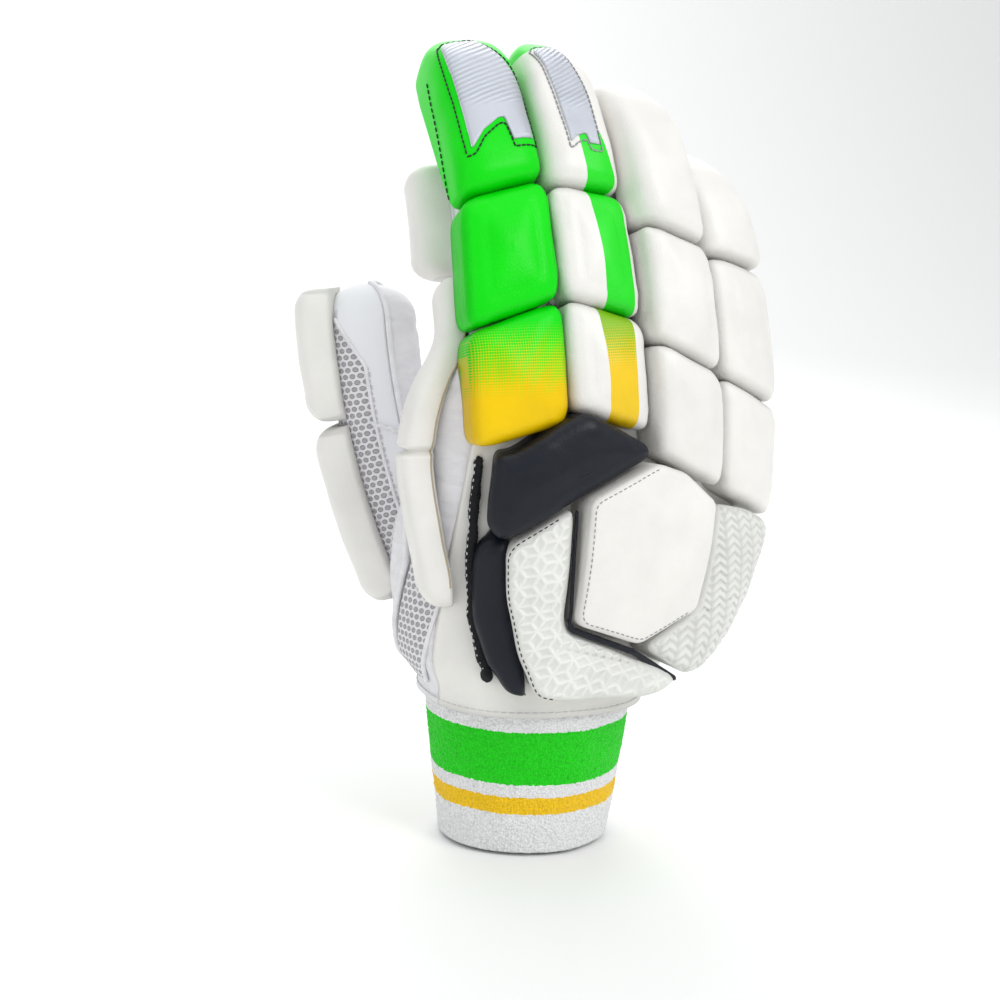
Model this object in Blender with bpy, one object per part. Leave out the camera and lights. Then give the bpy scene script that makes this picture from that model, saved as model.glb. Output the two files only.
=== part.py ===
"""A right-hand cricket batting glove, open at the wrist, in metres with +Z up.

The origin is the middle of the wrist opening, the fingers point up, -Y is the back of
the hand, +Y the palm and -X the thumb side. Walls of leather, mesh and towelling make
the glove that the hand goes into, and padded blocks lie over its back.
"""

import math
from functools import lru_cache

import bmesh
import bpy
import numpy as np

# Sizes of the sewn shell
CLEARANCE = 0.0003
FINGER_WIDTH = 0.027
FINGER_DEPTH = 0.026
FINGER_LENGTH = 0.155
LEATHER_WALL = 0.0016
HAND_HEIGHT = 0.183
HAND_DEPTH = 0.084
HAND_WALL = 0.0018
SKIRT_LEVEL = 0.058
HAND_WIDTH = 4.45 * FINGER_WIDTH

# Sizes of the thumb
THUMB_WIDTH = 0.034
THUMB_DEPTH = 0.036
THUMB_LENGTH = 0.123

# Sizes of the wristband and its strap
WRIST_WIDTH = 0.070
WRIST_FLARE = 0.0138
WRIST_ROUNDNESS = 0.919
BAND_HEIGHT = 0.063
BAND_WALL = 0.0035
STRAP_HEIGHT = 0.044
STRAP_FOOT = 0.011
STRAP_THICKNESS = 0.0025

# Sizes of the padding
FINGER_PAD = 0.017
PAD_ROUND = 0.007
PAD_CROWN = 0.0015
PAD_SINK = 0.004
ROLL_PAD = 0.017
BADGE_PAD = 0.019
SIDE_PAD = 0.014
EDGE_PAD = 0.015
PANEL_PAD = 0.008
BAR_WIDTH = 0.017
THUMB_PAD = 0.011
WINDOW_SHEET = 0.0008
PATCH_SHEET = 0.0020
PIPING = 0.0035

# Share of HAND_HEIGHT for the level, of HAND_WIDTH for x and half width, of HAND_DEPTH
# for y and half depth; the turn is in degrees, the tilt is rise over run across and the
# ball is how far the base of the thumb swells, as a share of HAND_WIDTH
HAND_COLUMNS = ("level", "x", "y", "half_width", "half_depth", "turn", "tilt", "ball")
HAND_SECTIONS = [
    (0.410, 0.030, -0.030, 0.424, 0.452, 1.0, -0.03, 0.050),
    (0.546, 0.100, -0.071, 0.480, 0.369, 4.0, -0.09, 0.125),
    (0.710, 0.155, -0.137, 0.505, 0.280, 7.0, -0.19, 0.150),
    (0.847, 0.183, -0.173, 0.512, 0.220, 9.0, -0.28, 0.110),
    (0.945, 0.187, -0.173, 0.503, 0.208, 9.0, -0.32, 0.060),
    (1.000, 0.187, -0.167, 0.495, 0.202, 9.0, -0.33, 0.030),
]
BALL_ANGLE, BALL_SPREAD = 152, 34

# Roots as shares of HAND_WIDTH, HAND_DEPTH and HAND_HEIGHT; the turn about Z, the lean
# and the curl at root and tip in degrees; pad ends as shares of FINGER_LENGTH; the width
# as a share of FINGER_WIDTH; the slopes of the grooves between the pads
FINGER_COLUMNS = (
    "x", "y", "z", "turn", "lean", "curl_root", "curl_tip",
    "base_end", "mid_end", "tip_end", "width", "slope_foot", "slope_base", "slope_mid",
)
FINGERS = {
    "index": (-0.193, -0.229, 0.897, -3.5, -2.3, 4.6, 41.7,
              0.264, 0.545, 1.000, 1.00, 0.22, 0.29, 0.22),
    "middle": (0.077, -0.225, 0.916, 7.7, -2.3, 7.4, 36.5,
               0.255, 0.528, 0.966, 1.00, -0.30, -0.28, -0.16),
    "ring": (0.312, -0.225, 0.827, 16.2, -1.1, 1.2, 31.7,
             0.265, 0.541, 0.961, 1.00, -0.46, -0.43, -0.33),
    "little": (0.550, -0.074, 0.747, 28.2, -1.2, -2.6, 30.9,
               0.270, 0.566, 0.879, 0.95, -0.41, -0.39, -0.23),
}
OUTER_REACH = {"index": (0.69, 0.72, 0.67, 0.76), "little": (0.66, 0.70, 0.64, 0.51)}
STALL_START = 0.155
STALL_SHORT = 0.10
STALL_TAPER = 0.15
TIP_ROUND = 0.75
TIP_WRAP = 0.7
THUMB_TAPER = -0.02
PAD_FOOT = 0.35

# Outlines on the back of the hand: u runs round the back from its middle, as a share of
# HAND_WIDTH, and the level is a share of HAND_HEIGHT
KNUCKLE_ROLL = [
    (-0.490, 0.802), (-0.440, 0.812), (-0.300, 0.892), (-0.245, 0.912), (-0.190, 0.908),
    (-0.020, 0.885), (-0.020, 0.858), (-0.185, 0.776), (-0.225, 0.757), (-0.365, 0.680),
    (-0.400, 0.664), (-0.430, 0.668), (-0.468, 0.692),
]
BADGE = [
    (-0.004, 0.855), (-0.212, 0.756), (-0.148, 0.532), (-0.128, 0.514), (0.085, 0.475),
    (0.238, 0.558), (0.238, 0.800), (0.105, 0.850),
]
LEFT_BLOCK = [
    (-0.394, 0.653), (-0.252, 0.734), (-0.232, 0.727), (-0.166, 0.530), (-0.140, 0.504),
    (0.285, 0.414), (0.262, 0.398), (0.180, 0.380), (-0.050, 0.370), (-0.125, 0.375),
    (-0.165, 0.390), (-0.250, 0.454), (-0.345, 0.560),
]
LEFT_BLOCK_MIDDLE = (-0.150, 0.470)
RIGHT_BLOCK = [
    (0.256, 0.800), (0.256, 0.552), (0.116, 0.468), (0.300, 0.418), (0.395, 0.425),
    (0.480, 0.480), (0.545, 0.575), (0.560, 0.690), (0.530, 0.790), (0.400, 0.805),
]
RIGHT_BLOCK_MIDDLE = (0.375, 0.590)
DARK_PANEL_LINE = [
    (-0.415, 0.655, 0.75), (-0.395, 0.610, 1.0), (-0.353, 0.530, 1.0),
    (-0.270, 0.450, 1.0), (-0.195, 0.397, 0.7),
]
DARK_PANEL_WIDTH = 0.010
EDGING_LINE = [
    (-0.525, 0.785, 1.0), (-0.505, 0.700, 1.0), (-0.470, 0.605, 1.0),
    (-0.413, 0.512, 1.0), (-0.338, 0.440, 1.0), (-0.298, 0.413, 1.0),
]
HEEL_PATCH = [(-0.42, 0.470), (-0.12, 0.460), (-0.10, 0.50), (-0.22, 0.65), (-0.44, 0.63)]
HEEL_PATCH_MIDDLE = (-0.28, 0.54)

# Sides of the meshes
RING_STEP = 20
HAND_STEP = 15
PAD_SIDES = 14
BAND_SIDES = 24

# Bars beside the index finger: first and last share of FINGER_LENGTH, how far the bar's foot
# and the rest of it are set toward the palm, in shares of FINGER_DEPTH, and its thickness
SIDE_BARS = {
    "lower_side_bar": (-0.40, 0.385, -0.30, 0.06, 0.011),
    "upper_side_bar": (0.40, 0.715, 0.52, 0.52, 0.015),
}
BAR_BEND = 0.42

# End blocks: the share of the stretch over the finger, then over its end, the inset and the
# drop below the crest as shares of FINGER_PAD, and over the end also the depth under the finger
TIP_OVER_FINGER = [(0.00, 0.265, 0.441), (0.06, 0.047, 0.088), (0.50, 0.0, 0.0), (1.00, 0.0, 0.118)]
TIP_OVER_END = [(0.38, 0.047, 0.324, 0.85), (0.70, 0.129, 0.735, 1.0), (0.93, 0.353, 1.206, 0.8)]

# Thumb bars: first and last share of THUMB_LENGTH, how much narrower their ends are, and the
# height of their foot as a share of the thumb's half depth
THUMB_BARS = {"lower_thumb_bar": (0.02, 0.57), "upper_thumb_bar": (0.59, 0.99)}
THUMB_BAR_NARROW = 0.2
THUMB_BAR_FOOT = 0.68
THUMB_START = 0.10
STALL_SQUARENESS = 2.4

# Middles of the blocks on the hand, and the radii of their corners as shares of HAND_WIDTH
ROLL_MIDDLE, BADGE_MIDDLE = (-0.24, 0.80), (0.05, 0.68)
ROLL_CORNER, BLOCK_CORNER, EDGE_CORNER = 0.033, 0.042, 0.050

# Window panels: first and last share of the end block's length, low and high share across
WINDOWS = {"index": (0.24, 0.80, -0.62, 0.62), "middle": (0.24, 0.80, -0.58, 0.32)}

WHITE = (0.82, 0.82, 0.79)
GREEN = (0.02, 0.75, 0.05)
YELLOW = (0.85, 0.60, 0.02)
NAVY = (0.020, 0.024, 0.032)
LEATHER = (0.72, 0.72, 0.76)
MESH_CLOTH = (0.62, 0.60, 0.63)
SILVER = (0.60, 0.62, 0.66)
BLACK = (0.01, 0.01, 0.01)


def clear_scene():
    for thing in list(bpy.data.objects):
        bpy.data.objects.remove(thing, do_unlink=True)


def finish(obj, colour, roughness, metallic=0.0):
    """Gives the object a material of its own."""
    material = bpy.data.materials.new(obj.name)
    material.use_nodes = True
    shader = material.node_tree.nodes["Principled BSDF"]
    shader.inputs["Base Color"].default_value = (*colour, 1.0)
    shader.inputs["Roughness"].default_value = roughness
    shader.inputs["Metallic"].default_value = metallic
    obj.data.materials.append(material)
    return obj


def solid(name, points, faces):
    """A closed mesh object with its faces pointing out."""
    mesh = bpy.data.meshes.new(name)
    mesh.from_pydata([tuple(p) for p in points], [], faces)
    form = bmesh.new()
    form.from_mesh(mesh)
    bmesh.ops.remove_doubles(form, verts=form.verts, dist=1e-6)
    bmesh.ops.recalc_face_normals(form, faces=form.faces)
    form.to_mesh(mesh)
    form.free()
    mesh.shade_smooth()
    mesh.set_sharp_from_angle(angle=math.radians(50))
    obj = bpy.data.objects.new(name, mesh)
    bpy.context.scene.collection.objects.link(obj)
    return obj


def halves(a, b, c, d):
    """A four-sided face as two triangles, always split the same way, so that fits match."""
    return [(a, b, c), (a, c, d)]


def wall(name, outer, inner, around=False):
    """A shell between two grids of points (rows, columns, 3), closed along its edges."""
    rows, columns = outer.shape[:2]
    points = np.concatenate([outer.reshape(-1, 3), inner.reshape(-1, 3)])
    spans = columns if around else columns - 1

    def at(side, row, column):
        return (side * rows + row) * columns + column % columns

    faces = []
    for row in range(rows - 1):
        for column in range(spans):
            for side in (0, 1):
                faces += halves(at(side, row, column), at(side, row, column + 1),
                                at(side, row + 1, column + 1), at(side, row + 1, column))
    for row in (0, rows - 1):
        for column in range(spans):
            faces.append((at(0, row, column), at(0, row, column + 1),
                          at(1, row, column + 1), at(1, row, column)))
    if not around:
        for column in (0, columns - 1):
            for row in range(rows - 1):
                faces.append((at(0, row, column), at(0, row + 1, column),
                              at(1, row + 1, column), at(1, row, column)))
    return solid(name, points, faces)


def stack(name, loops, foot, head):
    """A closed body through loops of points, fanned to one point at each end."""
    count = len(loops[0])
    points = [foot] + [p for loop in loops for p in loop] + [head]
    faces = []
    for j in range(count):
        after = (j + 1) % count
        faces.append((0, 1 + after, 1 + j))
        for i in range(len(loops) - 1):
            low, high = 1 + i * count, 1 + (i + 1) * count
            faces += halves(low + j, low + after, high + after, high + j)
        low = 1 + (len(loops) - 1) * count
        faces.append((low + j, low + after, len(points) - 1))
    return solid(name, points, faces)


def cut(obj, *cutters):
    """Takes the cutters away from the object; each cutter is grown by the clearance."""
    for cutter in cutters:
        cutter.hide_render = True
        cutter.display_type = "WIRE"
        modifier = obj.modifiers.new("cut " + cutter.name, "BOOLEAN")
        modifier.operation = "DIFFERENCE"
        modifier.solver = "EXACT"
        modifier.object = cutter
    return obj


def rounded(angle, power):
    """The point of a rounded square of half size 1 at this angle."""
    c, s = math.cos(angle), math.sin(angle)
    return (math.copysign(abs(c) ** (2 / power), c), math.copysign(abs(s) ** (2 / power), s))


def smooth_row(table, x):
    """A row of the table at x, on smooth curves through its rows; column 0 is x."""
    keys = table[:, 0]
    x = min(max(x, keys[0]), keys[-1])
    i = int(min(max(np.searchsorted(keys, x) - 1, 0), len(keys) - 2))
    span = keys[i + 1] - keys[i]
    low, high = table[i, 1:], table[i + 1, 1:]
    before = table[max(i - 1, 0)]
    after = table[min(i + 2, len(keys) - 1)]
    rise_low = (high - before[1:]) / (keys[i + 1] - before[0]) * span
    rise_high = (after[1:] - low) / (after[0] - keys[i]) * span
    f = (x - keys[i]) / span
    return ((2 * f**3 - 3 * f**2 + 1) * low + (f**3 - 2 * f**2 + f) * rise_low
            + (3 * f**2 - 2 * f**3) * high + (f**3 - f**2) * rise_high)


def band_radius(level):
    """Half width of the towelling tube, which flares upward."""
    return WRIST_WIDTH / 2 + WRIST_FLARE / 2 * min(level / SKIRT_LEVEL, 1.0)


def hand_table():
    """The sections of the hand in metres; the first two are the skirt over the wristband."""
    reach = band_radius(SKIRT_LEVEL) + CLEARANCE + HAND_WALL
    depth = band_radius(SKIRT_LEVEL) * WRIST_ROUNDNESS + CLEARANCE + HAND_WALL
    skirt = (0.0, 0.0, reach, depth, 0.0, 0.0, 0.0)
    rows = [(SKIRT_LEVEL, *skirt), (BAND_HEIGHT + HAND_WALL, *skirt)]
    for row in HAND_SECTIONS:
        section = dict(zip(HAND_COLUMNS, row))
        rows.append((section["level"] * HAND_HEIGHT, section["x"] * HAND_WIDTH,
                     section["y"] * HAND_DEPTH, section["half_width"] * HAND_WIDTH,
                     section["half_depth"] * HAND_DEPTH, section["turn"], section["tilt"],
                     section["ball"] * HAND_WIDTH))
    return np.array(rows)


HAND_TABLE = hand_table()
HAND_SQUARENESS = 2.4


def hand_ring(level, degrees, grow=0.0, squeeze=0.0):
    """Points round the hand at a level; squeeze, in degrees, closes the form over its top."""
    x0, y0, half_width, half_depth, turn, tilt, ball = smooth_row(HAND_TABLE, level)
    closing = 1 - math.cos(math.radians(squeeze))
    half_width = half_width - half_depth * closing + grow
    rise = (half_depth * 0.55 + grow) * math.sin(math.radians(squeeze))
    half_depth = half_depth * (1 - closing) + grow
    c, s = math.cos(math.radians(turn)), math.sin(math.radians(turn))
    points = []
    for angle in degrees:
        a, b = rounded(math.radians(angle), HAND_SQUARENESS)
        away = (angle - BALL_ANGLE + 180) % 360 - 180
        swell = ball * math.exp(-(away / BALL_SPREAD) ** 2) * (1 - closing)
        x, y = a * (half_width + swell), b * (half_depth + swell)
        points.append((x0 + x * c - y * s, y0 + x * s + y * c, level + tilt * x + rise))
    return np.array(points)


@lru_cache(maxsize=None)
def line_round(level, middle):
    """Fine points round the hand at a level and their distance from an angle of it."""
    ring = hand_ring(level, np.arange(middle - 180, middle + 181, 2))
    steps = np.linalg.norm(np.diff(ring, axis=0), axis=1)
    along = np.concatenate([[0.0], np.cumsum(steps)])
    return ring, along - along[90]


def on_hand(u, level, height=0.0, middle=-90):
    """The point this far round from the back's middle, or the palm's at 90, and this high."""
    step = 0.001
    level = round(min(max(level, SKIRT_LEVEL), HAND_HEIGHT - step), 6)

    def at(distance, lev):
        ring, along = line_round(lev, middle)
        return np.array([np.interp(distance, along, ring[:, k]) for k in range(3)])

    across = at(u + step, level) - at(u - step, level)
    up = at(u, round(level + step, 6)) - at(u, level)
    normal = np.cross(across, up)
    return at(u, level) + height * normal / np.linalg.norm(normal)


class Digit:
    """A curved finger or thumb: s runs along it, t across and h off its back."""

    def __init__(self, root, turn, lean, curl_root, curl_tip, length, width, depth, end, taper):
        turn, lean = math.radians(turn), math.radians(lean)
        back = np.array([math.sin(turn), -math.cos(turn), 0.0])
        side = np.array([math.cos(turn), math.sin(turn), 0.0])
        up = np.array([0.0, 0.0, 1.0])
        self.root = np.array(root)
        self.back = back
        self.along = math.cos(lean) * up + math.sin(lean) * side
        self.across = math.cos(lean) * side - math.sin(lean) * up
        self.curl = math.radians(curl_root)
        self.curl_rate = math.radians(curl_tip - curl_root) / length
        self.width, self.depth, self.end, self.taper = width, depth, end, taper

    def frame(self, s):
        """Middle point, direction and back normal at s."""
        curl = self.curl + self.curl_rate * s
        forward = (math.sin(curl) - math.sin(self.curl)) / self.curl_rate
        inward = (math.cos(self.curl) - math.cos(curl)) / self.curl_rate
        middle = self.root + forward * self.along - inward * self.back
        direction = math.cos(curl) * self.along - math.sin(curl) * self.back
        normal = math.cos(curl) * self.back + math.sin(curl) * self.along
        return middle, direction, normal

    def point(self, s, t, h):
        middle, _, normal = self.frame(s)
        return middle + t * self.across + h * normal

    def half_width(self, s):
        return self.width / 2 * (1 - self.taper * max(s, 0) / self.end)

    def half_depth(self, s):
        return self.depth / 2 * (1 - self.taper * max(s, 0) / self.end)

    def straight_end(self):
        """Where the stall stops running straight and turns over its tip."""
        return self.end - self.half_depth(self.end) * TIP_ROUND

    def ring(self, s, degrees, grow=0.0, squeeze=0.0):
        """Points round the stall at s; squeeze, in degrees, closes it over its tip."""
        shrink = math.cos(math.radians(squeeze))
        s = s + (self.half_depth(s) * TIP_ROUND + grow) * math.sin(math.radians(squeeze))
        half_t = self.half_width(s) * shrink + grow * max(shrink, 0.3)
        half_h = self.half_depth(s) * shrink + grow * max(shrink, 0.3)
        points = []
        for angle in degrees:
            a, b = rounded(math.radians(angle), STALL_SQUARENESS)
            points.append(self.point(s, a * half_t, b * half_h))
        return np.array(points)


def make_fingers():
    digits, rows = {}, {}
    for name, values in FINGERS.items():
        row = dict(zip(FINGER_COLUMNS, values))
        root = (row["x"] * HAND_WIDTH, row["y"] * HAND_DEPTH, row["z"] * HAND_HEIGHT)
        digits[name] = Digit(root, row["turn"], row["lean"], row["curl_root"], row["curl_tip"],
                             FINGER_LENGTH, row["width"] * FINGER_WIDTH, FINGER_DEPTH,
                             (row["tip_end"] - STALL_SHORT) * FINGER_LENGTH, STALL_TAPER)
        rows[name] = row
    return digits, rows


DIGITS, FINGER_ROWS = make_fingers()
THUMB = Digit((-0.255 * HAND_WIDTH, 0.31 * HAND_DEPTH, 0.535 * HAND_HEIGHT), -113, -2, -27, -4,
              THUMB_LENGTH, THUMB_WIDTH, THUMB_DEPTH, THUMB_LENGTH, THUMB_TAPER)


def tip_turns():
    """How far, in degrees, the rows of a rounded stall end have closed."""
    return (42, 84)


def stall_rows(digit, start):
    """Stations along a stall, as (s, squeeze)."""
    straight = digit.straight_end()
    body = [(start + (straight - start) * f, 0.0) for f in (0.0, 0.28, 0.53, 0.78, 1.0)]
    return body + [(straight, turn) for turn in tip_turns()]


def stall_form(name, digit, start):
    """The stall's outer form grown by the clearance, for cutting its neighbours."""
    angles = range(0, 360, RING_STEP)
    loops = [digit.ring(s, angles, CLEARANCE, squeeze) for s, squeeze in stall_rows(digit, start)]
    tip = digit.point(digit.end + 2 * CLEARANCE, 0, 0)
    foot = digit.point(start - CLEARANCE, 0, 0)
    loops[0] = digit.ring(start - CLEARANCE, angles, CLEARANCE)
    return stack(name, loops, foot, tip)


def stall_strip(name, digit, start, first, last, shift):
    """One half of a stall's wall, between two angles in degrees."""
    angles = range(first, last + 1, RING_STEP)
    outer, inner = [], []
    for s, squeeze in stall_rows(digit, start):
        nudge = shift * CLEARANCE / 2 * digit.frame(s)[2]
        outer.append(digit.ring(s, angles, 0.0, squeeze) + nudge)
        inner.append(digit.ring(s, angles, -LEATHER_WALL, squeeze) + nudge)
    outer[-1][:] = digit.ring(stall_rows(digit, start)[-1][0], angles, 0.0, 84) + nudge
    return wall(name, np.array(outer), np.array(inner))


def hand_rows():
    """Levels up the hand and over its closed top, as (level, squeeze)."""
    levels = [SKIRT_LEVEL + (HAND_HEIGHT - SKIRT_LEVEL) * f
              for f in (0.0, 0.08, 0.2, 0.36, 0.54, 0.72, 0.87, 1.0)]
    return [(level, 0.0) for level in levels] + [(HAND_HEIGHT, t) for t in (45, 84)]


def hand_form():
    angles = range(0, 360, HAND_STEP)
    loops = [hand_ring(level, angles, CLEARANCE, squeeze) for level, squeeze in hand_rows()]
    foot = hand_ring(SKIRT_LEVEL, [0, 180]).mean(axis=0)
    top = loops[-1].mean(axis=0)
    return stack("hand_form", loops, foot, top)


def hand_strip(name, first, last, shift):
    angles = range(first, last + 1, HAND_STEP)
    nudge = np.array([0.0, shift * CLEARANCE / 2, 0.0])
    outer = [hand_ring(level, angles, 0.0, squeeze) + nudge for level, squeeze in hand_rows()]
    inner = [hand_ring(level, angles, -HAND_WALL, min(squeeze, 84)) + nudge
             for level, squeeze in hand_rows()]
    return wall(name, np.array(outer), np.array(inner))


def matching_place(digit, other, s):
    """Where the other digit lies level with this one."""
    place = s
    for _ in range(5):
        middle, direction, _ = other.frame(place)
        place += float(np.dot(digit.frame(s)[0] - middle, direction))
    return other.frame(place)


def side_limit(name, side, s):
    """The side of a finger's padding at s, as t = start + slope * h."""
    names = list(FINGERS)
    other = names.index(name) + side
    digit, row = DIGITS[name], FINGER_ROWS[name]
    if not 0 <= other < len(names):
        ends = [0.0] + [row[key] * FINGER_LENGTH for key in ("base_end", "mid_end", "tip_end")]
        reach = OUTER_REACH[name]
        return side * FINGER_WIDTH * float(np.interp(s, ends, reach)), 0.0
    middle, _, normal = digit.frame(s)
    there, _, its_normal = matching_place(digit, DIGITS[names[other]], s)
    start = np.dot(there - middle, digit.across) / 2 - side * CLEARANCE * 0.6
    slope = np.dot(its_normal - normal, digit.across) / 2
    return float(start), float(slope)


def pad_point(name, ends, a, b, h):
    """A point of a finger pad; a and b run from -1 to 1 across and along it."""
    (foot, foot_slope), (head, head_slope) = ends
    middle_s = (foot + head) / 2 + b * (head - foot) / 2
    left = side_limit(name, -1, middle_s)
    right = side_limit(name, 1, middle_s)
    low, high = left[0] + left[1] * h, right[0] + right[1] * h
    t = (low + high) / 2 + a * (high - low) / 2
    low_s = foot + foot_slope * t + CLEARANCE / 2
    high_s = head + head_slope * t - CLEARANCE / 2
    return DIGITS[name].point((low_s + high_s) / 2 + b * (high_s - low_s) / 2, t, h)


def pillow_levels(base, crest, small):
    """Heights and insets of a pad's loops: a wall, a rounded edge and a crown."""
    edge = min(PAD_ROUND, (crest - base) * 0.7)
    rows = [(base, 0.0), (crest - PAD_CROWN - edge, 0.0)]
    for turn in (45, 90):
        c, s = math.cos(math.radians(turn)), math.sin(math.radians(turn))
        rows.append((crest - PAD_CROWN - edge * (1 - s), edge * (1 - c)))
    rows.append((crest - PAD_CROWN * 0.3, small * 0.6))
    return rows


def finger_pad(name, part, ends, grow=0.0):
    """A padded block across one finger, rounded over its edges."""
    digit = DIGITS[name]
    half = (ends[1][0] - ends[0][0]) / 2
    base = digit.depth / 2 * (1 - PAD_FOOT) - grow
    crest = digit.depth / 2 + FINGER_PAD + grow
    small = min(half, FINGER_WIDTH * 0.65)
    loops = []
    for h, inset in pillow_levels(base, crest, small):
        across, along = 1 - (inset - grow) / small, 1 - (inset - grow) / half
        loop = []
        for k in range(PAD_SIDES):
            a, b = rounded(2 * math.pi * k / PAD_SIDES, 7)
            loop.append(pad_point(name, ends, a * across, b * along, h))
        loops.append(loop)
    foot, head = pad_point(name, ends, 0, 0, base), pad_point(name, ends, 0, 0, crest)
    return stack(f"{name}_{part}", loops, foot, head)


def tip_rows(name):
    """Rows of a finger's end block: place along it, inset, foot and crest heights."""
    digit, row = DIGITS[name], FINGER_ROWS[name]
    half = digit.depth / 2
    crest, under = half + FINGER_PAD, -half * TIP_WRAP
    foot = half * (1 - PAD_FOOT)
    start, end = row["mid_end"] * FINGER_LENGTH, row["tip_end"] * FINGER_LENGTH
    turn = digit.straight_end()
    rows = []
    for share, inset, drop in TIP_OVER_FINGER:
        rows.append((start + share * (turn - start), inset * FINGER_PAD, foot, crest - drop * FINGER_PAD))
    for share, inset, drop, low in TIP_OVER_END:
        rows.append((turn + share * (end - turn), inset * FINGER_PAD, low * under, crest - drop * FINGER_PAD))
    return rows


def tip_surface(name, s, across):
    """The point on the face of a finger's end block at s, across from -1 to 1."""
    rows = np.array(tip_rows(name))
    inset, low, high = [float(np.interp(s, rows[:, 0], rows[:, k])) for k in (1, 2, 3)]
    h = low + (high - low) * (1 - abs(across) ** 3.2) ** (1 / 3.2)
    return tip_point(name, s, across, h, inset)


def tip_point(name, s, across, h, inset):
    row = FINGER_ROWS[name]
    start, end = row["mid_end"] * FINGER_LENGTH, row["tip_end"] * FINGER_LENGTH
    left, right = side_limit(name, -1, s), side_limit(name, 1, s)
    low, high = left[0] + left[1] * h + inset, right[0] + right[1] * h - inset
    t = (low + high) / 2 + across * (high - low) / 2
    skew = row["slope_mid"] * t * (end - s) / (end - start)
    return DIGITS[name].point(s + skew + CLEARANCE / 2, t, h)


def tip_pad(name):
    """The end block, which wraps over the end of its stall."""
    loops = []
    for s, inset, low, high in tip_rows(name):
        loop = []
        for k in range(PAD_SIDES):
            angle = 2 * math.pi * k / PAD_SIDES
            a, b = rounded(angle, 3.2)
            if b < 0:
                a, b = rounded(angle, 6)
            middle = low + (high - low) * 0.35
            h = middle + b * ((high - middle) if b > 0 else (middle - low))
            loop.append(tip_point(name, s, a, h, inset))
        loops.append(loop)
    rows = tip_rows(name)
    end = FINGER_ROWS[name]["tip_end"] * FINGER_LENGTH
    foot = np.mean(loops[0], axis=0)
    head = tip_point(name, end, 0, (rows[-1][2] + rows[-1][3]) / 2, 0.0)
    return stack(f"{name}_tip_pad", loops, foot, head)


def window(name, first, last, low, high):
    """A thin panel let into the face of a finger's end block, and the cutter of its bed."""
    row = FINGER_ROWS[name]
    start = row["mid_end"] * FINGER_LENGTH
    length = row["tip_end"] * FINGER_LENGTH - start

    def sheet(label, grow, foot, head):
        outer, inner = [], []
        for f in np.linspace(first, last, 6):
            stretch = 1 + 2 * grow / (length * (last - first))
            s = start + ((first + last) / 2 + (f - (first + last) / 2) * stretch) * length
            middle, reach = (low + high) / 2, (high - low) / 2 + grow / (FINGER_WIDTH / 2)
            normal = DIGITS[name].frame(s)[2]
            line = [tip_surface(name, s, a)
                    for a in np.linspace(middle - reach, middle + reach, 4)]
            outer.append([p + head * normal for p in line])
            inner.append([p + foot * normal for p in line])
        return wall(label, np.array(outer), np.array(inner))

    bed = -WINDOW_SHEET * 1.5
    panel = sheet(f"{name}_window", 0.0, bed, bed + WINDOW_SHEET)
    cutter = sheet(f"{name}_window_bed", CLEARANCE, bed - CLEARANCE, PAD_ROUND)
    return panel, cutter


def softened(outline, radius):
    """The outline with its corners cut off, apart from those that hardly turn."""
    points = []
    for k, corner in enumerate(outline):
        before, after = outline[k - 1], outline[(k + 1) % len(outline)]
        turn = math.atan2(corner[1] - before[1], corner[0] - before[0])
        turn -= math.atan2(after[1] - corner[1], after[0] - corner[0])
        if abs(math.remainder(turn, 2 * math.pi)) < math.radians(25):
            points.append(corner)
            continue
        for other in (before, after):
            share = min(radius / math.dist(corner, other), 0.35)
            points.append(tuple(c + (o - c) * share for c, o in zip(corner, other)))
    return points


def hand_pad(name, outline, middle, height, round_corner, side=-90, grow=0.0):
    """A padded block on the hand, from its outline in hand shares."""
    outline = [(u * HAND_WIDTH, v * HAND_HEIGHT) for u, v in outline]
    outline = softened(outline, round_corner)
    middle = (middle[0] * HAND_WIDTH, middle[1] * HAND_HEIGHT)
    small = min(math.dist(middle, p) for p in outline)
    edge = min(PAD_ROUND * 0.8, height * 0.6)
    rows = [(-PAD_SINK, CLEARANCE / small), (height - edge, CLEARANCE / small)]
    for turn in (40, 90):
        c, s = math.cos(math.radians(turn)), math.sin(math.radians(turn))
        rows.append((height - edge * (1 - s), edge * (1 - c) / small * 0.7))
    crown = min(PAD_CROWN, height * 0.1)
    rows += [(height + crown * (1 - share), 1 - share) for share in (0.66, 0.33)]
    loops = []
    for h, inset in rows:
        keep = 1 - inset + grow / small
        loops.append([on_hand(middle[0] + (u - middle[0]) * keep,
                              middle[1] + (v - middle[1]) * keep, h, side)
                      for u, v in outline])
    foot = on_hand(*middle, -PAD_SINK * 1.5, side)
    head = on_hand(*middle, height + crown, side)
    return stack(name, loops, foot, head)


def block_section(power=3.5, count=6):
    """The rounded top of a bar's section, from one foot over to the other."""
    return [rounded(math.pi * (1 - k / (count - 1)), power) for k in range(count)]


def bar(name, rows):
    """A padded bar through rows of (place, half width, foot, crest); place(a, h) is a point."""
    top = block_section()
    loops = []
    for place, half, foot, crest in rows:
        loop = [place(a * half, foot + b * (crest - foot)) for a, b in top]
        loop += [place(a * half, foot) for a in (0.5, 0.0, -0.5)]
        loops.append(loop)
    return stack(name, loops, np.mean(loops[0], axis=0), np.mean(loops[-1], axis=0))


def end_rounding(f, length, radius):
    """How far a bar has closed at share f of its length: 1 in its middle, less at its ends."""
    away = min(f, 1 - f) * length
    if away >= radius:
        return 1.0
    return math.sqrt(max(1 - (1 - away / radius) ** 2, 0.0)) * 0.6 + 0.4


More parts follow.
